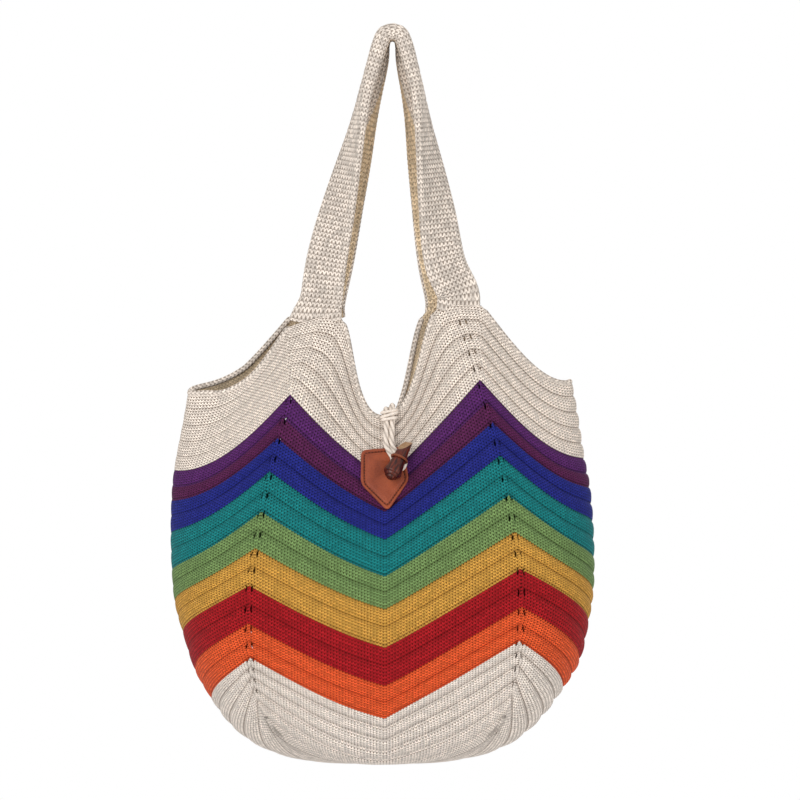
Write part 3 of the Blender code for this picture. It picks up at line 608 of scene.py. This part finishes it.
def rolled_edge(name, path, radius):
    """A round roll along a path; its stitches are counted around and along it."""
    length = lengths_of(path)[-1]
    at = np.linspace(0, length, max(int(length / ROLL_STEP), 4) + 1)
    line = stepped(path, at)
    ahead = unit(np.gradient(line, axis=0))
    side = np.cross(ahead, [0.0, 0.0, 1.0])
    flat = np.linalg.norm(side, axis=1, keepdims=True)
    side = np.where(flat > 0.15, side / np.maximum(flat, 1e-6), [0.0, 1.0, 0.0])
    up = np.cross(side, ahead)
    turn = full_turn(ROLL_CORNERS)
    taper = np.clip(np.minimum(at, length - at) / ROLL_TAPER, ROLL_END, 1.0)[:, None]
    mesh = tube_mesh(name, line[:, None]
                     + side[:, None] * (np.cos(turn) * radius * taper)[..., None]
                     + up[:, None] * (np.sin(turn) * radius * taper)[..., None])
    marks = np.zeros((len(at) - 1, ROLL_CORNERS, 4, 2))
    wale = (np.arange(ROLL_CORNERS) / ROLL_CORNERS * CHAIN_WALES)[None, :, None]
    marks[:, :, (0, 3), 0], marks[:, :, (1, 2), 0] = wale, wale + CHAIN_WALES / ROLL_CORNERS
    marks[:, :, (0, 1), 1] = at[:-1, None, None] / CHAIN_COURSE
    marks[:, :, (2, 3), 1] = at[1:, None, None] / CHAIN_COURSE
    mark_stitches(mesh, np.concatenate([marks.reshape(-1, 2), np.zeros((2 * ROLL_CORNERS, 2))]))
    return placed(name, mesh)


def plain_finish(name, colour, depth):
    """Plain knit of one yarn, counted in stitches by its own map."""
    finish, tree, shader, _, stitch = stitched(name)
    spun(tree, shader, stitch, (*colour, 1), stitch["Gap"], depth, 0.0008)
    return finish


cream_knit = plain_finish("cream_knit", [part * 0.87 for part in CREAM], 0.66)
rim_line = knit[0] - outward[0] * (WALL / 2)
rim_line[:, 2] -= 0.0010
columns = len(rim_line)
eighth = columns // 8
HANDLE_HALF = 0.019


def rim_run(start, stop):
    """The rim between two peaks, without the widths that the handles cover."""
    line = rim_line[[count % columns for count in range(start, stop + 1)]]
    clear = np.minimum(np.abs(line[:, 0] - line[0, 0]), np.abs(line[:, 0] - line[-1, 0]))
    return line[clear > HANDLE_HALF]


for name, start in (("edging_right", eighth), ("edging_back", 3 * eighth),
                    ("edging_left", 5 * eighth), ("edging_front", 7 * eighth)):
    edging = rolled_edge(name, rim_run(start, start + 2 * eighth), ROLL)
    edging.data.materials.append(cream_knit)
    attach(edging, "bag")


# The two handles: bands of plain knitting, ten stitches wide, whose edges roll inwards.
# Each is sewn to the two peaks of one face, and the pair is gathered where it hangs.
BAND_WIDTH, BAND_FOLD_WIDTH, BAND_THICKNESS = 0.040, 0.026, 0.0036
SELVEDGE, FOLD_THICKNESS, CLEARANCE = 0.0066, 0.0156, 0.0003
NECK_REACH, NECK_LEAST = 0.75, 0.08
ARCH_DROP = (-FOLD_THICKNESS / 2, -0.0050, 0.003, 0.020, 0.052, 0.107, 0.159, 0.210)
ARCH_SPREAD = (0.0, 0.0072, 0.0112, 0.0165, 0.0250, 0.0362, 0.0465, 0.0560)
ARCH_BACK_INSET = (0.0, 0.0, 0.0010, 0.0055, 0.0085, 0.0085, 0.0065, 0.0060)
FOOT_STRAIGHT, FOOT_TAPER, GATHER_START, TURN_EASE = 0.012, 0.0004, 0.60, 0.8
BAND_WALE, BAND_COURSE, STITCH_RISE = 0.0039, 0.0044, 0.0011
LEFT_FLARE, RIGHT_FLARE, FLARE_LENGTH, FOOT_LAP, FOOT_ARC = 0.010, 0.001, 0.030, 0.004, 0.004
LEG_STEPS, FLAT_COUNT, CURL_COUNT, CURL_TURN, SEAM_REACH = 400, 36, 14, 80, 0.012


def handle_foot(side, face):
    """Where a handle meets the rim at one peak."""
    zero = np.zeros(1)
    peak = wall_points(zero, zero, False, side, face)[0]
    close = (np.abs(knit[0][:, 0] - peak[0]) < BAND_WIDTH) & (knit[0][:, 1] * face > 0)
    return np.array([peak[0], peak[1] - face * WALL / 2, knit[0][close, 2].max()])


def leg_path(side, face, foot, count):
    """Middle line of one leg of a handle, from the top of the arch to its seam."""
    drops = list(ARCH_DROP) + [-foot[2] - FOOT_STRAIGHT, -foot[2] + FOOT_LAP]
    spreads = [spread - (less if face > 0 else 0.0)
               for spread, less in zip(ARCH_SPREAD, ARCH_BACK_INSET)]
    foot_spread = side * (foot[0] + HANG_OFFSET)
    spreads += [foot_spread - FOOT_TAPER, foot_spread]
    place = np.linspace(0, len(drops) - 1, count)
    drop = reading(drops, place)
    hang = ease(drop / -foot[2])
    x = side * reading(spreads, place) - HANG_OFFSET * hang
    return np.stack([x, 0 * x, -drop], axis=1)


def stitch_relief(wale, course):
    """Height of plain stitches: two strands of each lean together like a V."""
    off_centre = np.abs(2 * (wale % 1.0) - 1)
    off_row = np.abs((course + 0.5 * off_centre + 0.5) % 1.0 - 0.5)
    hollow = np.clip(2.2 * (1 - (off_centre / 0.55) ** 2 - (off_row / 0.36) ** 2), 0, 1)
    side = np.clip(2.2 * (1 - ((1 - off_centre) / 0.3) ** 2 - (off_row / 0.3) ** 2), 0, 1)
    return 1 - np.minimum(hollow + 0.6 * side + 0.3 * (1 - 2 * off_row) ** 2.5, 1.0)


def closed(shape, mesh):
    """Write a finished shape into its mesh, with all its faces looking outwards."""
    bmesh.ops.recalc_face_normals(shape, faces=shape.faces)
    shape.to_mesh(mesh)
    shape.free()
    return mesh


def knit_handle(name, face):
    """One knitted band with rolled edges, from seam to seam over the arch."""
    feet = [handle_foot(-1, face), handle_foot(1, face)]
    path = np.concatenate([leg_path(-1, face, feet[0], LEG_STEPS)[::-1],
                           leg_path(1, face, feet[1], LEG_STEPS)[1:]])
    length = lengths_of(path)[-1]
    at = np.linspace(0, length, int(length / (BAND_COURSE / 5)) + 1)
    path = stepped(path, at)
    tangent = np.gradient(path, axis=0)
    tangent[0], tangent[-1] = (0, 0, 1), (0, 0, -1)
    tangent = unit(tangent)
    left = at < length / 2
    foot_z = np.where(left, feet[0][2], feet[1][2])
    foot_y = np.where(left, abs(feet[0][1]), abs(feet[1][1]))
    height = np.clip(1 - path[:, 2] / foot_z, 0, 1)
    gather = ease((height - GATHER_START) / (1 - GATHER_START))
    turn = math.radians(90) * ease(height) ** TURN_EASE
    level = unit(np.cross(tangent, [0.0, -1.0, 0.0]))
    across = level * np.cos(turn)[:, None] + np.array([0.0, -1.0, 0.0]) * np.sin(turn)[:, None]
    up = unit(np.cross(across, tangent))
    to_foot = np.minimum(at, length - at)
    flare = np.where(left, LEFT_FLARE, RIGHT_FLARE) * ease(1 - to_foot / FLARE_LENGTH) ** 2
    sewn = ease(1 - to_foot / SEAM_REACH)
    width = BAND_WIDTH + (BAND_FOLD_WIDTH - BAND_WIDTH) * gather + flare
    thick = BAND_THICKNESS + (FOLD_THICKNESS - BAND_THICKNESS) * gather
    roll = SELVEDGE + (FOLD_THICKNESS - SELVEDGE) * gather
    roll = roll + (BAND_THICKNESS + 0.0004 - roll) * sewn
    away = (width / 2 * np.sin(turn) + roll / 2 * np.cos(turn) + CLEARANCE
            + (foot_y - SELVEDGE / 2 - CLEARANCE) * (1 - ease(height)))
    middle = path.copy()
    middle[:, 0] += np.where(left, -0.5, 0.5) * flare
    middle[:, 1] = -away
    reach = width / 2 - roll / 2
    neck = np.maximum(reach - roll * NECK_REACH, width * NECK_LEAST)
    points, relief = [], []
    for half in (1, -1):
        for step in range(FLAT_COUNT):
            x = (2 * (step + 0.5) / FLAT_COUNT - 1) * neck
            points.append((x * half, -half * thick / 2 + 0 * x))
            relief.append(1 - 0.6 * gather)
        for step in range(CURL_COUNT):
            angle = math.radians(-CURL_TURN + 2 * CURL_TURN * step / (CURL_COUNT - 1))
            points.append((half * (reach + roll / 2 * math.cos(angle)),
                           half * roll / 2 * math.sin(angle)))
            relief.append(0.5 - 0.2 * gather)
    section = np.stack([np.stack([x, rise], axis=1) for x, rise in points], axis=1)
    steps = np.linalg.norm(np.roll(section, -1, axis=1) - section, axis=2)
    around = np.concatenate([np.zeros((len(at), 1)), np.cumsum(steps, axis=1)], axis=1)
    outer = FLAT_COUNT + CURL_COUNT + FLAT_COUNT // 2
    outer_middle = (around[:, outer] + around[:, outer - 1]) / 2
    wale = (around - outer_middle[:, None]) / BAND_WALE
    course = at / BAND_COURSE
    normal = np.roll(section, -1, axis=1) - np.roll(section, 1, axis=1)
    normal = np.stack([normal[..., 1], -normal[..., 0]], axis=2)
    normal /= np.linalg.norm(normal, axis=2, keepdims=True) + 1e-12
    lift = (stitch_relief(wale[:, :-1], course[:, None]) - 0.8) * STITCH_RISE
    section = section + normal * (lift * np.stack(relief, axis=1))[..., None]
    places = (middle[:, None] + across[:, None] * section[..., :1]
              + up[:, None] * section[..., 1:])
    lobe = 1 - np.minimum(np.abs(section[..., 0]) / (width[:, None] / 2), 1.0) ** 2
    places[..., 2] -= FOOT_ARC * lobe * sewn[:, None]
    places[..., 1] *= -face
    total, corners = places.shape[:2]
    quads = tube_faces(total, corners)[1]
    marks = np.zeros((total - 1, corners, 4, 2))
    marks[:, :, 0, 0], marks[:, :, 1, 0] = wale[:-1, :-1], wale[:-1, 1:]
    marks[:, :, 3, 0], marks[:, :, 2, 0] = wale[1:, :-1], wale[1:, 1:]
    marks[:, :, (0, 1), 1] = course[:-1, None, None]
    marks[:, :, (2, 3), 1] = course[1:, None, None]
    # Painted shade: the flat side that faces the other band takes the tan inside finish, for the
    # shade between the two bands.
    inner = np.zeros((total - 1, corners), np.int32)
    inner[:, :FLAT_COUNT] = 1
    if face < 0:
        quads, marks = quads[..., ::-1], marks[:, :, ::-1]
    mesh = bpy.data.meshes.new(name)
    mesh.from_pydata(places.reshape(-1, 3).tolist(), [], quads.reshape(-1, 4).tolist())
    mark_stitches(mesh, marks)
    mesh.polygons.foreach_set("material_index", inner.ravel())
    mesh.polygons.foreach_set("use_smooth", [True] * len(mesh.polygons))
    shape = bmesh.new()
    shape.from_mesh(mesh)
    bmesh.ops.holes_fill(shape, edges=shape.edges, sides=0)
    return placed(name, closed(shape, mesh))


shaded_inside_knit = plain_finish("knit_inside_painted_shade", SHADED_INSIDE_TAN, 0.5)
for name, face in (("front_band", -1), ("back_band", 1)):
    band = knit_handle(name, face)
    band.data.materials.append(cream_knit)
    band.data.materials.append(shaded_inside_knit)
    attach(band, "bag")
    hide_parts("front_handle" if face < 0 else "back_handle")


# The closing patch: one piece of tan bridle leather, cut to a house shape with its point
# down, edge-creased, and sewn to the knit all round with a saddle stitch in rust thread.
PATCH_WIDTH, PATCH_SHOULDER, PATCH_HEIGHT, PATCH_THICKNESS = 0.046, 0.034, 0.064, 0.0022
PATCH_SHARE, PATCH_CORNER = 0.86, 0.006
THONG_SIDE, THONG_DROP, HOLE_RADIUS = 0.015, 0.018, 0.0027
patch_frame = Matrix((
    (0.99619, -0.08716, 0.0, -0.01), (0.03352, 0.38312, -0.92309, -0.02381),
    (0.08045, 0.91958, 0.38458, -0.38802), (0.0, 0.0, 0.0, 1.0),
))


def rounded_outline(corners, radius, steps):
    """Corner points of a flat piece, each rounded to the given reach."""
    points = []
    for count, corner in enumerate(corners):
        corner = Vector(corner)
        before = (Vector(corners[count - 1]) - corner).normalized() * radius
        after = (Vector(corners[(count + 1) % len(corners)]) - corner).normalized() * radius
        for step in range(steps + 1):
            share = step / steps
            back = 1 - share
            points.append((corner + before) * back**2 + corner * 2 * back * share
                          + (corner + after) * share**2)
    return points


def house(inset):
    """The patch's outline, drawn in by an inset."""
    half = PATCH_WIDTH / 2 - inset
    top = -inset
    return ((-half * PATCH_SHARE, top), (half * PATCH_SHARE, top), (half, -PATCH_SHOULDER),
            (0.0, -PATCH_HEIGHT + inset * 1.5), (-half, -PATCH_SHOULDER))


def bridge(shape, lower, upper):
    """Smooth faces between two rings of points."""
    for count in range(len(lower)):
        after = (count + 1) % len(lower)
        shape.faces.new((lower[count], lower[after], upper[after], upper[count])).smooth = True


EDGE_PROFILE = ((0.0004, 0.0), (0.0, 0.0004), (0.0, 0.0017), (0.0004, 0.0022),
                (0.0011, 0.0025), (0.0022, 0.0024), (0.0029, 0.0016), (0.0038, 0.0016),
                (0.0046, 0.0025), (0.009, 0.0026))
HOLE_CORNERS, HOLE_TOP, HOLE_DEPTH = 20, 0.0023, 0.0021
leather_shape = bmesh.new()
rings = []
for inset, rise in EDGE_PROFILE:
    outline = rounded_outline(house(inset), max(PATCH_CORNER - inset, 0.001), 6)
    rings.append([leather_shape.verts.new((*point, rise)) for point in outline])
for lower, upper in zip(rings, rings[1:]):
    bridge(leather_shape, lower, upper)
bore = [leather_shape.verts.new((THONG_SIDE + HOLE_RADIUS * math.cos(turn),
                                 -THONG_DROP + HOLE_RADIUS * math.sin(turn), HOLE_TOP))
        for turn in full_turn(HOLE_CORNERS)]
edges = [leather_shape.edges.new(pair) for pair in zip(bore, bore[1:] + bore[:1])]
edges += [leather_shape.edges.get(pair) for pair in zip(rings[-1], rings[-1][1:] + rings[-1][:1])]
bmesh.ops.triangle_fill(leather_shape, use_beauty=True, edges=edges)
leather_shape.faces.new(rings[0][::-1])
sunk = [leather_shape.verts.new(vert.co - Vector((0, 0, HOLE_DEPTH))) for vert in bore]
bridge(leather_shape, sunk, bore)
for facet in leather_shape.faces:
    facet.smooth = True
patch_mesh = closed(leather_shape, bpy.data.meshes.new("closing_patch"))
patch = placed("closing_patch", patch_mesh)
patch.matrix_world = patch_frame

grain, given, made = group_of("leather_grain", {"Scale": 900.0},
                              {"Pore": 0.0, "Cloud": 0.0, "Height": 0.0})
where = add_node(grain, "TexCoord").outputs["Object"]
pores = add_node(grain, "TexVoronoi", Vector=where, Scale=given["Scale"])
pores.feature = "DISTANCE_TO_EDGE"
creases = add_node(grain, "TexNoise", Vector=where, Scale=260.0, Detail=5.0)
patina = add_node(grain, "TexNoise", Vector=where, Scale=55.0, Detail=3.0)
pore = sum_of(grain, "MINIMUM", sum_of(grain, "MULTIPLY", pores.outputs["Distance"], 6.0), 1.0)
height = sum_of(grain, "MULTIPLY_ADD", pore, 0.5, creases.outputs["Fac"])
fill(grain, made, Pore=pore, Cloud=patina.outputs["Fac"], Height=height)


def leather_finish(name, colour, dark, scale, roughness):
    """Oiled vegetable-tanned leather: clouded colour, darker pores and fine creases."""
    finish, tree, shader = new_finish(name, roughness, 0.0, 0.35)
    hide = add_group(tree, grain, Scale=scale)
    worn = ramp_of(tree, hide["Cloud"], ((0.30, dark), (0.72, colour)))
    pitted = mixed(tree, hide["Pore"], (0.62, 0.55, 0.5, 1), (1, 1, 1, 1))
    rough = add_node(tree, "MapRange", Value=hide["Cloud"], To_Min=roughness + 0.12,
                     To_Max=roughness - 0.06)
    fill(tree, shader, Base_Color=mixed(tree, 1.0, worn, pitted, "MULTIPLY"),
         Roughness=rough.outputs[0])
    bumped(tree, shader, hide["Height"], 0.00035)
    return finish


tan_leather = leather_finish("tan_leather", (0.43, 0.092, 0.030), (0.25, 0.046, 0.015),
                             900, 0.42)
patch_mesh.materials.append(tan_leather)
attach(patch, "bag")
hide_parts("leather_patch")


# The saddle stitch of the patch: short straight stitches of waxed thread that sink into
# their holes at both ends, set in from the edge.
STITCH_INSET, STITCH_PITCH, THREAD = 0.0034, 0.0029, 0.00055
loop_line = rounded_outline(house(STITCH_INSET), PATCH_CORNER - 0.002, 6)
loop_line.append(loop_line[0])
seam_lengths = np.concatenate([[0], np.cumsum([
    (second - first).length for first, second in zip(loop_line, loop_line[1:])])])
seam_count = int(seam_lengths[-1] / STITCH_PITCH)


def on_seam(place):
    """A point of the stitch line by its length from the start."""
    place = place % seam_lengths[-1]
    count = min(int(np.searchsorted(seam_lengths, place, side="right")) - 1, len(loop_line) - 2)
    share = (place - seam_lengths[count]) / (seam_lengths[count + 1] - seam_lengths[count])
    return loop_line[count].lerp(loop_line[count + 1], share)


STITCH_SHARE, STITCH_STEPS, STITCH_LIFT, STITCH_ARCH = 0.72, 5, 0.0016, 0.0006
stitch_pitch = seam_lengths[-1] / seam_count
seam = bmesh.new()
for count in range(seam_count):
    start = on_seam((count + (1 - STITCH_SHARE) / 2) * stitch_pitch)
    stop = on_seam((count + (1 + STITCH_SHARE) / 2) * stitch_pitch)
    run = stop - start
    beside = Vector((-run.y, run.x)).normalized()
    sections = []
    for step in range(STITCH_STEPS + 1):
        arch = math.sin(step / STITCH_STEPS * math.pi)
        lift = STITCH_LIFT + STITCH_ARCH * arch
        swell = THREAD * (0.55 + 0.45 * arch)
        centre = start.lerp(stop, step / STITCH_STEPS)
        sections.append([seam.verts.new((*(centre + beside * math.cos(turn) * swell),
                                         lift + math.sin(turn) * swell))
                         for turn in full_turn(6)])
    for first, second in zip(sections, sections[1:]):
        bridge(seam, first, second)
    seam.faces.new(sections[0][::-1])
    seam.faces.new(sections[-1])
seam_mesh = closed(seam, bpy.data.meshes.new("patch_stitches"))
patch_seam = placed("patch_stitches", seam_mesh)
patch_seam.matrix_world = patch_frame
seam_mesh.materials.append(leather_finish("rust_thread", (0.110, 0.022, 0.010),
                                          (0.050, 0.010, 0.005), 2600, 0.55))
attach(patch_seam, "bag")


# The toggle: turned from dark horn, with rings at its thick end, a waist for the thong and
# a slanted saw cut at the tip, which shows the paler core.
TOGGLE_LENGTH, TOGGLE_THICK, TOGGLE_WAIST, TOGGLE_TIP = 0.038, 0.0085, 0.0066, 0.0052
TOGGLE_TURN, TOGGLE_TILT, TIP_CUT = math.radians(62), math.radians(7), math.radians(60)
TOGGLE_RISE, TIP_LONGER, FOOT_LONGER = 0.0145, 0.002, 0.0045
toggle_frame = (patch_frame
                @ Matrix.Translation((THONG_SIDE, -THONG_DROP, PATCH_THICKNESS + TOGGLE_RISE))
                @ Matrix.Rotation(TOGGLE_TURN, 4, "Z") @ Matrix.Rotation(TOGGLE_TILT, 4, "Y"))
half, foot = TOGGLE_LENGTH / 2 + TIP_LONGER, TOGGLE_LENGTH / 2 + FOOT_LONGER
profile = [(half * along, thick) for along, thick in (
    (1.0, 0.0), (1.0, TOGGLE_TIP * 0.92), (0.45, TOGGLE_TIP * 1.10),
    (0.20, TOGGLE_WAIST * 0.97), (0.10, TOGGLE_WAIST))]
profile += [(-foot * 0.10, TOGGLE_WAIST), (-foot * 0.22, TOGGLE_WAIST * 1.06)]
profile += [(-foot * along, TOGGLE_THICK * thick) for along, thick in (
    (0.44, 0.91), (0.58, 0.99), (0.66, 1.02), (0.72, 1.02), (0.76, 0.97), (0.78, 0.90),
    (0.775, 0.84), (0.80, 0.80), (0.85, 0.77), (0.885, 0.69), (0.88, 0.60), (0.875, 0.53),
    (0.91, 0.49), (0.96, 0.44), (0.98, 0.34), (0.97, 0.24), (0.975, 0.17), (1.0, 0.12),
    (1.0, 0.0))]
SEGMENTS = 48
turned = bmesh.new()
rings = [[turned.verts.new((along, radius * math.cos(turn), radius * math.sin(turn)))
          for turn in (full_turn(SEGMENTS) if radius else (0.0,))] for along, radius in profile]
for first, second in zip(rings[1:-2], rings[2:-1]):
    bridge(turned, first, second)
for pole, section in ((rings[0][0], rings[1]), (rings[-1][0], rings[-2])):
    for corner, after in zip(section, section[1:] + section[:1]):
        turned.faces.new((pole, corner, after)).smooth = True
bmesh.ops.recalc_face_normals(turned, faces=turned.faces)
slant = Vector((math.cos(TIP_CUT), math.sin(TIP_CUT) * 0.5, math.sin(TIP_CUT) * 0.866))
everything = list(turned.verts) + list(turned.edges) + list(turned.faces)
cut = bmesh.ops.bisect_plane(turned, geom=everything, dist=0.00001, plane_no=slant,
                             plane_co=(half, -TOGGLE_TIP * 0.2, -TOGGLE_TIP * 0.35),
                             clear_outer=True)
rim = [part for part in cut["geom_cut"] if isinstance(part, bmesh.types.BMEdge)]
for facet in bmesh.ops.contextual_create(turned, geom=rim)["faces"]:
    facet.material_index = 1
    facet.smooth = False
toggle_mesh = closed(turned, bpy.data.meshes.new("horn_toggle"))
toggle = placed("horn_toggle", toggle_mesh)
toggle.matrix_world = toggle_frame


def horn_finish(name, dark, light, roughness, coat):
    """Horn or oiled wood: streaks along the length, broken by fine pores."""
    finish, tree, shader = new_finish(name, roughness, 0.0, 0.22)
    stretched = add_node(tree, "Mapping", Vector=add_node(tree, "TexCoord").outputs["Object"],
                         Scale=(60.0, 520.0, 520.0))
    streak = add_node(tree, "TexNoise", Vector=stretched.outputs[0], Scale=1.0, Detail=5.0,
                      Distortion=0.6).outputs["Fac"]
    fill(tree, shader, Coat_Weight=coat, Coat_Roughness=0.12,
         Base_Color=ramp_of(tree, streak, ((0.40, dark), (0.78, light))))
    bumped(tree, shader, streak, 0.0001)
    return finish


for name, dark, light, roughness, coat in (
    ("dark_horn", (0.022, 0.003, 0.002), (0.185, 0.026, 0.008), 0.36, 0.16),
    ("horn_core", (0.27, 0.145, 0.070), (0.46, 0.29, 0.16), 0.5, 0.0),
):
    toggle_mesh.materials.append(horn_finish(name, dark, light, roughness, coat))
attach(toggle, "toggle")
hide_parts("toggle_button")


# The thong: a round leather lace that comes out of the patch, passes round the toggle's
# waist and goes back in through the same hole. Its path is in tenths of a millimetre.
THONG_PATH = [tuple(part / 10000 for part in place) for place in (
    (53, -308, -4026), (53, -342, -4012), (53, -381, -3995), (32, -385, -3984), (1, -409, -3959),
    (-8, -450, -3938), (8, -493, -3928), (44, -523, -3932), (87, -530, -3949), (123, -512, -3973),
    (139, -474, -3996), (129, -430, -4010), (98, -395, -4010), (77, -385, -4005),
    (77, -346, -4021), (77, -312, -4035),
)]
THONG_RADIUS = 0.0011
lace = bpy.data.curves.new("toggle_lace", "CURVE")
lace.dimensions = "3D"
lace.bevel_depth = THONG_RADIUS
lace.bevel_resolution = 4
lace.use_fill_caps = True
lace.resolution_u = 5
run = lace.splines.new("NURBS")
run.points.add(len(THONG_PATH) - 1)
for point, place in zip(run.points, THONG_PATH):
    point.co = (*place, 1.0)
run.use_endpoint_u = True
run.order_u = 3
thong = placed("toggle_lace", lace)
lace.materials.append(leather_finish("lace_leather", (0.33, 0.085, 0.028),
                                     (0.20, 0.045, 0.015), 1800, 0.5))
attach(thong, "toggle")
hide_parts("toggle_thong")


# The button loop: soft cream cord of three plies, fixed inside the back rim, brought over
# the front rim and round the thong's neck, so that the toggle keeps the mouth closed.
LOOP_PATH = [tuple(part / 10000 for part in place) for place in (
    (-98, 55, -3697), (-100, 61, -3681), (-100, 62, -3661), (-90, 29, -3615), (-70, -34, -3547),
    (-56, -82, -3504), (-55, -101, -3500), (-57, -113, -3514), (-58, -133, -3534),
    (-58, -155, -3565), (-58, -174, -3603), (-58, -187, -3650), (-58, -204, -3701),
    (-62, -232, -3759), (-63, -262, -3818), (-51, -283, -3865), (-27, -299, -3903),
    (-8, -312, -3936), (2, -324, -3965), (9, -335, -3991), (17, -346, -4017), (25, -356, -4042),
    (36, -363, -4058), (53, -365, -4063), (70, -365, -4063), (86, -364, -4061),
    (101, -361, -4053), (112, -354, -4035), (119, -343, -4009), (112, -332, -3983),
    (83, -322, -3959), (50, -310, -3932), (25, -298, -3900), (4, -282, -3863), (-7, -259, -3809),
    (-6, -224, -3733), (-2, -193, -3661), (-2, -177, -3609), (-2, -166, -3567), (-2, -148, -3531),
    (-2, -127, -3501), (-1, -107, -3481), (1, -95, -3467), (0, -76, -3471), (-14, -33, -3513),
    (-34, 22, -3578), (-44, 51, -3622), (-44, 50, -3642), (-42, 45, -3659),
)]
CORD_RADIUS, CORD_STEPS, CORD_CORNERS = 0.0029, 260, 24
PLIES, PLY_TURN, PLY_DEPTH, PLY_ROUND = 3, 0.0105, 0.30, 0.8
loop_steps = np.array(LOOP_PATH)
loop_length = lengths_of(loop_steps)[-1]
loop_at = np.linspace(0, loop_length, CORD_STEPS)
loop_line = stepped(loop_steps, loop_at)
for _ in range(3):
    loop_line[1:-1] = (loop_line[:-2] + 2 * loop_line[1:-1] + loop_line[2:]) / 4
ahead = unit(np.gradient(loop_line, axis=0))
aside = np.zeros_like(ahead)
aside[0] = np.cross(ahead[0], [1.0, 0.0, 0.0])
for step in range(1, len(ahead)):
    aside[step] = unit(aside[step - 1] - ahead[step] * np.dot(aside[step - 1], ahead[step]))
aside[0] = unit(aside[0])
across = np.cross(ahead, aside)
turn = full_turn(CORD_CORNERS)
twist = turn[None, :] * PLIES + loop_at[:, None] / PLY_TURN * 2 * math.pi
ply = np.abs(np.cos(twist / 2)) ** PLY_ROUND
reach = CORD_RADIUS * (1 - PLY_DEPTH + PLY_DEPTH * ply)
cord_mesh = tube_mesh("button_cord", loop_line[:, None]
                      + aside[:, None] * (np.cos(turn) * reach)[..., None]
                      + across[:, None] * (np.sin(turn) * reach)[..., None])
# Painted shade: the hollows between the plies are stored on the cord and darken its colour through
# the yarn's painted gap shade.
hollow = cord_mesh.attributes.new("hollow", "FLOAT", "POINT")
hollow.data.foreach_set("value", (1 - ply).astype(np.float32).ravel())
cord = placed("button_cord", cord_mesh)
loop_yarn, tree, shader = new_finish("loop_yarn", 0.9, 0.02, 0.12)
ply_hollow_shade = add_node(tree, "Attribute")
ply_hollow_shade.attribute_name = "hollow"
cloth = add_group(tree, yarn, Colour=(*CREAM, 1), Gap=ply_hollow_shade.outputs["Fac"], Depth=0.75)
fill(tree, shader, Base_Color=cloth["Colour"])
bumped(tree, shader, cloth["Fibre"], 0.0006)
cord_mesh.materials.append(loop_yarn)
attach(cord, "bag")
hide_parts("button_loop")


# Where the loop leaves the rim its strands are bound by three turns of the same cord, which
# lie across them a little askew and are tucked in at the back.
WRAPS = ((-0.3525, 0.16, 0.0070), (-0.3558, 0.28, 0.0073), (-0.3594, 0.14, 0.0066))
WRAP_REACH, WRAP_FRONT, WRAP_FLAT, WRAP_STEPS = 0.003, -0.010, 0.62, 28
WRAP_THICK, WRAP_PLY, WRAP_TWIST, WRAP_CORNERS = 0.0016, 0.0003, 0.9, 8
wraps = bmesh.new()
for place, tilt, wide in WRAPS:
    near = loop_line[np.abs(loop_line[:, 2] - place) < WRAP_REACH]
    centre = Vector(near[near[:, 1] < WRAP_FRONT].mean(axis=0))
    rings = []
    for step, angle in enumerate(full_turn(WRAP_STEPS)):
        out = Vector((math.cos(angle), WRAP_FLAT * math.sin(angle), tilt * math.cos(angle)))
        section = []
        for turn in full_turn(WRAP_CORNERS):
            lobe = WRAP_THICK + WRAP_PLY * math.cos(3 * turn + step * WRAP_TWIST)
            section.append(wraps.verts.new(centre + out * wide
                                           + out.normalized() * lobe * math.cos(turn)
                                           + Vector((0, 0, lobe * math.sin(turn)))))
        rings.append(section)
    for first, second in zip(rings, rings[1:] + rings[:1]):
        bridge(wraps, first, second)
wrap_mesh = closed(wraps, bpy.data.meshes.new("loop_wraps"))
loop_wraps = placed("loop_wraps", wrap_mesh)
wrap_mesh.materials.append(loop_yarn)
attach(loop_wraps, "bag")
